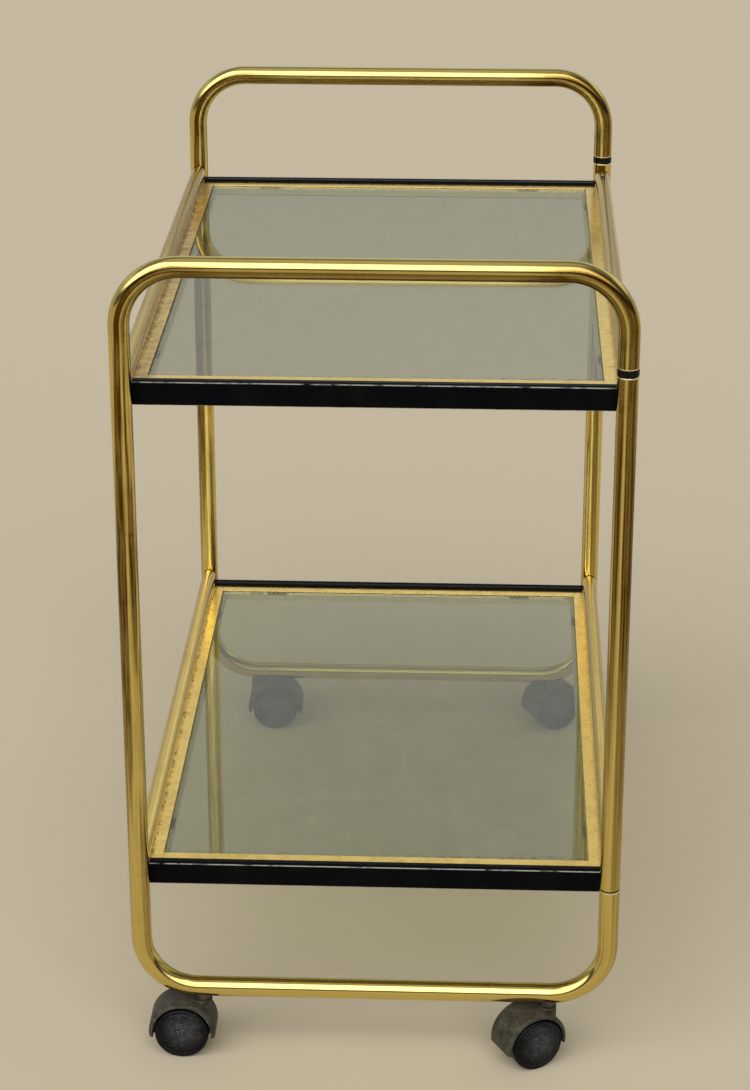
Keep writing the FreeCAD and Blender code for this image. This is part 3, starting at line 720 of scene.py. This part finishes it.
def lathe(bm, profile, steps, closed=False):
    # Spins (radius, height) pairs about Z
    corners = [bm.verts.new((radius, 0, height)) for radius, height in profile]
    pairs = list(zip(corners, corners[1:]))
    if closed:
        pairs.append((corners[-1], corners[0]))
    lines = [bm.edges.new(pair) for pair in pairs]
    bmesh.ops.spin(
        bm, geom=corners + lines, cent=(0, 0, 0), axis=(0, 0, 1),
        angle=2 * math.pi, steps=steps, use_merge=True,
    )
    bmesh.ops.remove_doubles(bm, verts=bm.verts, dist=1e-7)
    bmesh.ops.recalc_face_normals(bm, faces=bm.faces)


def markPlaces(mesh, name, place):
    # Keeps where each point is in a piece's own terms, for patterns that follow its shape
    attribute = mesh.attributes.new(name, "FLOAT_VECTOR", "POINT")
    for vert, item in zip(mesh.vertices, attribute.data):
        item.vector = place(vert.co)


# Steps round a rounded corner
quarterTurn = [math.radians(step) for step in (0, 22.5, 45, 67.5, 90)]


# Brass tubes
tube = {
    "wall": 0.0012,
    "bend": 0.053,
    "around": 64,
    "bendSteps": 18,
    "rim": 0.00035,
    "splitGap": 0.0007,
    "plugDepth": 0.028,  # how far the black plug reaches into each tube
}


def straightLoop(y):
    # Finds a point's place on the loop laid out straight: outward, sideways and along.
    # The ways over the top and under the bottom meet half-way up the left leg.
    bend = tube["bend"]
    insideX = legX - bend
    insideTop, insideBottom = barZ["top"] - bend, barZ["bottom"] + bend
    quarter = bend * math.pi / 2

    def place(co):
        x, z = co.x, co.z
        offset = co.y - y
        overX = max(abs(x) - insideX, 0.0)
        overZ = max(z - insideTop, insideBottom - z, 0.0)
        if overX > 0 and overZ > 0:
            radial = math.hypot(overX, overZ) - bend
            turned = math.atan2(overZ, overX) * bend
        elif overX > 0:
            radial, turned = overX - bend, 0.0
        else:
            radial, turned = overZ - bend, quarter
        height = min(max(z, insideBottom), insideTop)
        run = min(max(x, -insideX), insideX)
        if z > (insideTop + insideBottom) / 2:
            along = (height + turned) if x > 0 else 0.0
            if x <= 0 or overX == 0:
                along = insideTop + quarter + (insideX - run)
                if x < 0 and overX > 0:
                    along += quarter - turned + (insideTop - height)
        else:
            along = -(insideBottom - height) - turned if x > 0 else 0.0
            if x <= 0 or overX == 0:
                along = insideBottom - quarter - (insideX - run)
                if x < 0 and overX > 0:
                    along -= quarter - turned
        return (radial, offset, along)

    return place


def makeLoop(end):
    y = ends[end] * loopY
    bend = tube["bend"]
    top, bottom = barZ["top"], barZ["bottom"]
    collarFace = collarHigh.z - tube["plugDepth"]
    bm = bmesh.new()
    ring = startRing(bm, tubeRadius, tube["around"], (legX, y, collarFace), (0, 0, 1))
    runs = [
        ((0, 0, top - bend - collarFace), (legX - bend, y, top - bend)),
        ((-2 * (legX - bend), 0, 0), (-legX + bend, y, top - bend)),
        ((0, 0, -(top - bottom - 2 * bend)), (-legX + bend, y, bottom + bend)),
        ((2 * (legX - bend), 0, 0), (legX - bend, y, bottom + bend)),
    ]
    for step, centre in runs:
        ring = pushRing(bm, ring, step)
        ring = bendRing(bm, ring, centre, (0, -1, 0), tube["bendSteps"])
    pushRing(bm, ring, (0, 0, legLow.z - tube["splitGap"] - bottom - bend))
    bmesh.ops.recalc_face_normals(bm, faces=bm.faces)
    piece = addPiece(
        bm, f"{end}LoopTube", "brass_plate", "frame", [f"{end}_loop_tube"]
    )
    markPlaces(piece.data, "straightTube", straightLoop(y))
    giveWall(piece, tube["wall"])
    softenEdges(piece, tube["rim"], 2)


def makeStraightTube(name, node, finish, radius, start, step, wall, rim):
    start, step = Vector(start), Vector(step)
    bm = bmesh.new()
    ring = startRing(bm, radius, tube["around"], start, step.normalized())
    pushRing(bm, ring, step)
    bmesh.ops.recalc_face_normals(bm, faces=bm.faces)
    piece = addPiece(bm, name, finish, "frame", [node])
    upright = abs(step.z) > abs(step.y)
    shift = start.x + start.y + start.z  # so that no two tubes have the same streaks
    markPlaces(
        piece.data, "straightTube",
        lambda co: (
            co.x - start.x,
            co.y - start.y if upright else co.z - start.z,
            (co.z if upright else co.y) + shift,
        ),
    )
    giveWall(piece, wall)
    softenEdges(piece, rim, 2)


for endName in ends:
    makeLoop(endName)
    low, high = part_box(f"{endName}_right_leg")
    centre = (low + high) / 2
    makeStraightTube(
        f"{endName}RightLeg", f"{endName}_right_leg", "brass_plate", tubeRadius,
        (centre.x, centre.y, low.z), (0, 0, high.z - low.z), tube["wall"], tube["rim"],
    )

rail = {"wall": 0.001, "rim": 0.0002}

for levelName in levels:
    for sideName in sides:
        node = f"{levelName}_{sideName}_rail"
        low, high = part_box(node)
        centre = (low + high) / 2
        makeStraightTube(
            f"{levelName}{sideName.title()}Rail", node, "brass_rail", (high.z - low.z) / 2,
            (centre.x, low.y, centre.z), (0, high.y - low.y, 0), rail["wall"], rail["rim"],
        )
print("tubes and rails made")


# Black collars on the upper joints, each with the plug that reaches into both tubes
collar = {
    "radius": 0.0099,
    "half": 0.0035,
    "corner": 0.0007,
    "bulge": 0.00015,
    "plug": 0.00825,
    "chamfer": 0.0005,
    "around": 72,
}


def makeCollar(end):
    c = collar
    corner, half, radius = c["corner"], c["half"], c["radius"] - c["bulge"]
    plugHalf = (collarHigh.z - collarLow.z) / 2
    quarter = [
        (radius - corner + corner * math.cos(a), half - corner + corner * math.sin(a))
        for a in reversed(quarterTurn)
    ]
    upper = [(0.0, plugHalf), (c["plug"] - c["chamfer"], plugHalf)]
    upper += [(c["plug"], plugHalf - c["chamfer"]), (c["plug"], half), *quarter, (c["radius"], 0.0)]
    profile = upper + [(r, -z) for r, z in reversed(upper[:-1])]
    bm = bmesh.new()
    lathe(bm, profile, c["around"])
    bmesh.ops.translate(bm, verts=bm.verts, vec=middle(f"{end}_leg_connector"))
    piece = addPiece(
        bm, f"{end}LegCollar", "black_collar", "frame", [f"{end}_leg_connector"]
    )
    sharpen(piece.data, 50)


for endName in ends:
    makeCollar(endName)
print("collars made")


# Black end bar: flat top, a groove, and a rounded bead along the outer edge
endBar = {
    "grooveStart": 0.0060,
    "grooveWidth": 0.0018,
    "grooveDepth": 0.0014,
    "corner": 0.0014,
    "edge": 0.0004,
}


def makeEndBar(level, end):
    node = f"{level}_{end}_bar"
    low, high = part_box(node)
    sign = ends[end]
    inner, outer = (high.y, low.y) if sign < 0 else (low.y, high.y)
    grooveIn = inner + sign * endBar["grooveStart"]
    grooveOut = grooveIn + sign * endBar["grooveWidth"]
    floorZ = high.z - endBar["grooveDepth"]
    corner = endBar["corner"]
    topBead = [
        (outer - sign * corner * (1 - math.sin(a)), high.z - corner * (1 - math.cos(a)))
        for a in quarterTurn
    ]
    footBead = [
        (outer - sign * corner * (1 - math.cos(a)), low.z + corner * (1 - math.sin(a)))
        for a in quarterTurn
    ]
    outline = [(inner, high.z), (grooveIn, high.z), (grooveIn, floorZ)]
    outline += [(grooveOut, floorZ), (grooveOut, high.z)]
    outline += topBead + footBead + [(inner, low.z)]
    bm = bmesh.new()
    prism(bm, [(0, y, z) for y, z in outline], (low.x, 0, 0), (high.x - low.x, 0, 0))
    piece = addPiece(bm, f"{level}{end.title()}Bar", "black_bar", "frame", [node])
    softenEdges(piece, endBar["edge"], 2, 40.0)


# Folded strips round the panes, drawn as (in from the outer face, up from the top of the flange)
strip = {
    "sheet": 0.0015,
    "side": 0.0119,
    "end": 0.0147,
    "depth": 0.0127,
    "ledge": 0.0044,
    "ledgeDrop": 0.0068,
    "edge": 0.0003,
}


def stripOutline(width, upstand):
    sheet, foot = strip["sheet"], -strip["depth"]
    ledgeTop = -strip["ledgeDrop"]
    ledge = width + strip["ledge"]
    outline = [(0, foot), (sheet, foot), (sheet, -sheet), (width - sheet, -sheet)]
    outline += [(width - sheet, ledgeTop - sheet), (ledge - sheet, ledgeTop - sheet)]
    outline += [(ledge - sheet, foot), (ledge, foot), (ledge, ledgeTop)]
    outline += [(width, ledgeTop), (width, 0)]
    if upstand:
        outline += [(sheet, 0), (sheet, upstand), (0, upstand)]
    else:
        outline += [(0, 0)]
    return outline


def makeSideStrip(level, side):
    node = f"{level}_{side}_strip"
    low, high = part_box(node)
    sign = sides[side]
    outer = high.x if sign > 0 else low.x
    flange = low.z + strip["depth"]
    outline = stripOutline(strip["side"], high.z - flange)
    outline = [(outer - sign * x, 0, flange + z) for x, z in outline]
    bm = bmesh.new()
    prism(bm, outline, (0, low.y, 0), (0, high.y - low.y, 0))
    name = f"{level}{side.title()}Strip"
    piece = addPiece(bm, name, "brass_strip", "frame", [node])
    markPlaces(piece.data, "fromFold", lambda co: (sign * (outer - co.x), 0.0, co.z - flange))
    softenEdges(piece, strip["edge"], 2)


def makeEndStrip(level, end):
    # The middle has the whole fold; the ends are notched over the ledges of the side strips
    node = f"{level}_{end}_strip"
    low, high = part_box(node)
    sign = ends[end]
    outer = low.y if sign < 0 else high.y
    flange = high.z
    notch = strip["ledge"]
    sheet, width, ledgeTop = strip["sheet"], strip["end"], -strip["ledgeDrop"]

    def corner(inward, rise):
        return (0, outer - sign * inward, flange + rise)

    cut = [(0, ledgeTop), (sheet, ledgeTop), (width - sheet, ledgeTop), (width, ledgeTop)]
    above = [cut[0], cut[1], (sheet, -sheet), (width - sheet, -sheet)]
    above += [cut[2], cut[3], (width, 0), (0, 0)]
    foot = -strip["depth"]
    outerWeb = [(0, foot), (sheet, foot), cut[1], cut[0]]
    ledge = width + strip["ledge"]
    ledgePart = [cut[2], (width - sheet, ledgeTop - sheet), (ledge - sheet, ledgeTop - sheet)]
    ledgePart += [(ledge - sheet, foot), (ledge, foot), (ledge, ledgeTop), cut[3]]
    parts = (above, outerWeb, ledgePart)
    bm = bmesh.new()
    corners = {}
    for place in above + outerWeb + ledgePart:
        if place not in corners:
            corners[place] = bm.verts.new(Vector(corner(*place)) + Vector((low.x + notch, 0, 0)))
    faces = [bm.faces.new([corners[place] for place in part]) for part in parts]
    made = bmesh.ops.extrude_face_region(bm, geom=faces)["geom"]
    bmesh.ops.translate(bm, verts=vertsOf(made), vec=(high.x - low.x - 2 * notch, 0, 0))
    made = [item for item in made if isinstance(item, bmesh.types.BMFace)]
    caps = [faces[0]] + [face for face in made if len(face.verts) == len(above)]
    for cap, way in zip(caps, (-notch, notch)):
        pushed = bmesh.ops.extrude_face_region(bm, geom=[cap])["geom"]
        bmesh.ops.translate(bm, verts=vertsOf(pushed), vec=(way, 0, 0))
    bmesh.ops.delete(bm, geom=[face for face in caps if face.is_valid], context="FACES_ONLY")
    bmesh.ops.recalc_face_normals(bm, faces=bm.faces)
    name = f"{level}{end.title()}Strip"
    piece = addPiece(bm, name, "brass_strip", "frame", [node])
    markPlaces(piece.data, "fromFold", lambda co: (sign * (outer - co.y), 0.0, co.z - flange))
    softenEdges(piece, strip["edge"], 2)


glass = {"arris": 0.0007}


def makePane(level):
    low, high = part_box(f"{level}_glass")
    bm = bmesh.new()
    bmesh.ops.create_cube(bm, size=1.0)
    bmesh.ops.scale(bm, verts=bm.verts, vec=high - low)
    bmesh.ops.translate(bm, verts=bm.verts, vec=(low + high) / 2)
    piece = addPiece(
        bm, f"{level}Pane", "smoked_glass", "frame", [f"{level}_glass"]
    )
    softenEdges(piece, glass["arris"], 3)


for levelName in levels:
    for endName in ends:
        makeEndBar(levelName, endName)
        makeEndStrip(levelName, endName)
    for sideName in sides:
        makeSideStrip(levelName, sideName)
    makePane(levelName)
print("trays made")


# Castors, made once with the stem at the origin and the wheels trailing along +X
castor = {
    "trail": 0.0188,
    "axleZ": 0.0255,
    "hoodRadius": 0.0316,
    "hoodWidth": 0.038,
    "hoodFoot": 0.0045,
    "hoodRound": 0.0045,
    "crown": 0.0552,
    "space": 0.0278,
    "web": 0.013,
    "webFoot": 0.007,
    "bossRadius": 0.0095,
    "bossFoot": 0.0312,
    "stemHole": 0.00406,
    "stemHoleFoot": 0.0362,
    "edge": 0.0005,
    "webOverlap": 0.0009,  # into the hood, so that the two join
    "webSink": 0.001,  # below the crown
    "webEdge": 0.0006,
    "bossEdge": 0.0008,
    "holeOver": 0.002,  # past the crown, so that the hole is open
    "around": 128,
    "bossAround": 64,
    "holeAround": 48,
}


def roundBlock(radius, length, segments, place, along="Y"):
    bm = bmesh.new()
    bmesh.ops.create_cone(
        bm, cap_ends=True, cap_tris=False, segments=segments,
        radius1=radius, radius2=radius, depth=length,
    )
    if along == "Y":
        turn = Matrix.Rotation(math.pi / 2, 3, "X")
        bmesh.ops.rotate(bm, verts=bm.verts, cent=(0, 0, 0), matrix=turn)
    bmesh.ops.translate(bm, verts=bm.verts, vec=place)
    return bm


def cutFlat(bm, height, upward):
    # Keeps what lies below height, or above it, and closes the cut
    normal = (0, 0, 1) if upward else (0, 0, -1)
    cut = bmesh.ops.bisect_plane(
        bm, geom=bm.verts[:] + bm.edges[:] + bm.faces[:], dist=1e-7,
        plane_co=(0, 0, height), plane_no=normal, clear_outer=True,
    )
    bmesh.ops.contextual_create(bm, geom=edgesOf(cut["geom_cut"]))
    bmesh.ops.recalc_face_normals(bm, faces=bm.faces)


def bevelSharp(bm, width, segments, limit=35.0):
    limit = math.radians(limit)
    sharp = [edge for edge in bm.edges if edge.is_manifold and edge.calc_face_angle() > limit]
    bmesh.ops.bevel(
        bm, geom=sharp, offset=width, offset_type="OFFSET", affect="EDGES",
        segments=segments, profile=0.5, material=-1, clamp_overlap=True,
    )


def looseObject(bm, name):
    mesh = bpy.data.meshes.new(name)
    bm.to_mesh(mesh)
    bm.free()
    item = bpy.data.objects.new(name, mesh)
    bpy.context.scene.collection.objects.link(item)
    return item


def joinOrCut(base, tools):
    # Joins or cuts solids one after the other, and leaves one mesh
    for tool, operation in tools:
        step = base.modifiers.new("solid", "BOOLEAN")
        step.operation = operation
        step.solver = "EXACT"
        step.object = tool
    bpy.context.view_layer.update()
    graph = bpy.context.evaluated_depsgraph_get()
    done = bpy.data.meshes.new_from_object(base.evaluated_get(graph))
    for item in [base] + [tool for tool, _ in tools]:
        bpy.data.objects.remove(item, do_unlink=True)
    return done


def makeHousingMesh():
    c = castor
    axle = Vector((c["trail"], 0, c["axleZ"]))
    hood = roundBlock(c["hoodRadius"], c["hoodWidth"], c["around"], axle)
    bevelSharp(hood, c["hoodRound"], 7)
    cutFlat(hood, c["axleZ"] - c["hoodFoot"], False)
    cutFlat(hood, c["crown"], True)
    bevelSharp(hood, c["edge"], 2)
    web = roundBlock(c["space"] + c["webOverlap"], c["web"], c["around"], axle)
    cutFlat(web, c["axleZ"] - c["webFoot"], False)
    cutFlat(web, c["crown"] - c["webSink"], True)
    bevelSharp(web, c["webEdge"], 2)
    bossHeight = c["crown"] - c["bossFoot"]
    bossPlace = (0, 0, c["bossFoot"] + bossHeight / 2)
    boss = roundBlock(c["bossRadius"], bossHeight, c["bossAround"], bossPlace, "Z")
    bevelSharp(boss, c["bossEdge"], 3)
    tools = [(looseObject(web, "web"), "UNION"), (looseObject(boss, "boss"), "UNION")]
    for sign in (-1, 1):
        depth = c["hoodWidth"]
        pocketPlace = axle + Vector((0, sign * (c["web"] / 2 + depth / 2), 0))
        pocket = roundBlock(c["space"], depth, c["around"], pocketPlace)
        tools.append((looseObject(pocket, f"pocket{sign}"), "DIFFERENCE"))
    holeHeight = c["crown"] - c["stemHoleFoot"] + c["holeOver"]
    holePlace = (0, 0, c["stemHoleFoot"] + holeHeight / 2)
    hole = roundBlock(c["stemHole"], holeHeight, c["holeAround"], holePlace, "Z")
    tools.append((looseObject(hole, "stemHole"), "DIFFERENCE"))
    return joinOrCut(looseObject(hood, "hood"), tools)


wheel = {
    "radius": 0.0255,
    "inner": 0.0069,
    "shoulder": 0.0196,
    "dome": 0.0032,
    "round": 0.0018,
    "seam": 0.0220,
    "seamDepth": 0.0003,
    "boreEnd": 0.0159,
    "recess": 0.0166,
    "rimInner": 0.0215,
    "hub": 0.0055,
    "bore": 0.00206,
    "seamHalf": 0.0004,
    "domeRings": (0.019, 0.016, 0.013, 0.010, 0.007, 0.004, 0.002),
    "sheenAndDustCentre": (-0.002, 0.004),  # from the hub, along and up
    "around": 80,
}


def makeWheelMesh(sign):
    w = wheel
    inner, shoulder, turned, seam, half = (
        w[key] for key in ("inner", "shoulder", "round", "seam", "seamHalf")
    )
    edge = w["radius"] - turned
    bulge = (edge ** 2 + w["dome"] ** 2) / (2 * w["dome"])

    def dome(r):
        return shoulder + w["dome"] - bulge + math.sqrt(bulge ** 2 - r ** 2)

    profile = [(w["bore"], w["boreEnd"]), (w["bore"], inner), (w["hub"], inner)]
    profile += [(w["hub"], w["recess"]), (w["rimInner"], w["recess"]), (w["rimInner"], inner)]
    profile += [
        (edge + turned * math.cos(a), inner + turned * (1 - math.sin(a)))
        for a in reversed(quarterTurn)
    ]
    profile += [
        (edge + turned * math.cos(a), shoulder - turned * (1 - math.sin(a))) for a in quarterTurn
    ]
    profile += [(seam + half, dome(seam + half)), (seam, dome(seam) - w["seamDepth"])]
    profile += [(r, dome(r)) for r in (seam - half, *w["domeRings"], 0.0)]
    profile += [(0.0, w["boreEnd"])]
    bm = bmesh.new()
    lathe(bm, profile, w["around"], True)
    turn = Matrix.Rotation(-sign * math.pi / 2, 3, "X")
    bmesh.ops.rotate(bm, verts=bm.verts, cent=(0, 0, 0), matrix=turn)
    bmesh.ops.translate(bm, verts=bm.verts, vec=(castor["trail"], 0, castor["axleZ"]))
    return bm


def fromHub(co):
    # Distance from the middle of the painted sheen and dust on the cover, which is a little off the
    # hub
    along, up = wheel["sheenAndDustCentre"]
    return (co.x - castor["trail"] - along, 0.0, co.z - castor["axleZ"] - up)


def makeCastor(corner, housingMesh):
    stemPlace = middle(f"{corner}_castor_stem")
    stemPlace.z = 0.0
    axlePlace = middle(f"{corner}_castor_axle")
    swing = math.atan2(axlePlace.y - stemPlace.y, axlePlace.x - stemPlace.x)
    place = Matrix.Translation(stemPlace) @ Matrix.Rotation(swing, 4, "Z")
    back = place.inverted()
    end, side = corner.split("_")
    label = end + side.title()
    bm = bmesh.new()
    bm.from_mesh(housingMesh)
    bmesh.ops.transform(bm, matrix=place, verts=bm.verts)
    housing = addPiece(
        bm, f"{label}Housing", "castor_hood", f"castor_{corner}",
        [f"{corner}_castor_housing"],
    )
    sharpen(housing.data, 32)
    for sideName, sign in sides.items():
        bm = makeWheelMesh(sign)
        bmesh.ops.transform(bm, matrix=place, verts=bm.verts)
        turning = addPiece(
            bm, f"{label}{sideName.title()}Wheel", "castor_wheel", f"wheel_{corner}_{sideName}",
            [f"{corner}_castor_{sideName}_wheel"],
        )
        sharpen(turning.data, 40)
        markPlaces(turning.data, "fromHub", lambda co: fromHub(back @ co))


housingMesh = makeHousingMesh()
for endName in ends:
    for sideName in sides:
        makeCastor(f"{endName}_{sideName}", housingMesh)
bpy.data.meshes.remove(housingMesh)
print("castors made")


# CAD nodes that stay, by the last word of their names
keptFinishes = {
    "stem": "zinc_steel",
    "axle": "zinc_steel",
    "sockets": "zinc_steel",
    "screws": "zinc_steel",
    "pads": "pad_rubber",
    "spigot": "black_collar",
}
for nodeName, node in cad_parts.items():
    finish = keptFinishes.get(nodeName.split("_")[-1])
    if finish:
        node.data.materials.clear()
        node.data.materials.append(finishes[finish])
print("CAD nodes finished")


# Floor and sky. The sky is the only light.
studio = {
    "floor": (0.52, 0.45, 0.33, 1),
    "floorSize": 60.0,
    "window": (3.2, 3.2, 3.15, 1),
    "windowTurn": (-72.0, 40.0),  # degrees round from the camera's side, towards the right
    "windowHeight": (16.0, 66.0),
    "windowSoft": (9.0, 4.0),
    "frontLow": (0.10, 0.10, 0.10, 1),
    "frontHigh": (0.30, 0.30, 0.29, 1),
    "frontStep": (0.16, 0.30),
    "backLow": (0.46, 0.48, 0.48, 1),
    "backLeft": (0.58, 0.60, 0.60, 1),
    "backRight": (0.96, 0.99, 0.98, 1),
    "backHigh": (0.24, 0.24, 0.23, 1),
    "backSideStep": (-0.45, 0.45),
    "backLowStep": (0.26, 0.36),
    "backHighStep": (0.54, 0.66),
    "backStep": (-0.25, 0.15),
    "zenith": (0.52, 0.51, 0.48, 1),
    "zenithStep": (0.88, 0.97),
    "strength": 1.0,
}


def makeFloor():
    bm = bmesh.new()
    bmesh.ops.create_grid(bm, x_segments=1, y_segments=1, size=studio["floorSize"])
    mesh = bpy.data.meshes.new("studioFloor")
    bm.to_mesh(mesh)
    bm.free()
    constants = {"Roughness": 0.9, "Specular_IOR_Level": 0.2, "Base_Color": studio["floor"]}
    mesh.materials.append(newFinish("studioFloor", **constants)[0])
    floor = bpy.data.objects.new("studioFloor", mesh)
    bpy.context.scene.collection.objects.link(floor)


def makeSky():
    # A large soft window on the camera's side, and a paler room behind the trolley
    w = studio
    world = bpy.data.worlds.new("studioSky")
    bpy.context.scene.world = world
    world.use_nodes = True
    tree = world.node_tree
    towards = splitPlace(tree, addNode(tree, "ShaderNodeTexCoord").outputs["Generated"])
    height = maths(tree, "ARCSINE", towards["Z"])
    turn = maths(tree, "ARCTAN2", towards["X"], times(tree, towards["Y"], -1.0))

    def band(value, limits, soft):
        low, high, soft = (math.radians(degrees) for degrees in (*limits, soft))
        rising = ramp(tree, value, low - soft, low + soft)
        return times(tree, rising, ramp(tree, value, high + soft, high - soft))

    up, right, back = towards["Z"], towards["X"], towards["Y"]
    front = tint(tree, ramp(tree, up, *w["frontStep"]), w["frontLow"], w["frontHigh"])
    behind = tint(tree, ramp(tree, right, *w["backSideStep"]), w["backLeft"], w["backRight"])
    behind = tint(tree, ramp(tree, up, *w["backLowStep"]), w["backLow"], behind)
    behind = tint(tree, ramp(tree, up, *w["backHighStep"]), behind, w["backHigh"])
    room = tint(tree, ramp(tree, back, *w["backStep"]), front, behind)
    room = tint(tree, ramp(tree, up, *w["zenithStep"]), room, w["zenith"])
    sideways, upward = w["windowSoft"]
    window = times(
        tree, band(turn, w["windowTurn"], sideways), band(height, w["windowHeight"], upward)
    )
    background = tree.nodes["Background"]
    feed(tree, background, "Color", tint(tree, window, room, w["window"]))
    background.inputs["Strength"].default_value = w["strength"]


makeFloor()
makeSky()
bpy.context.scene.view_settings.view_transform = "Standard"
print("studio made")
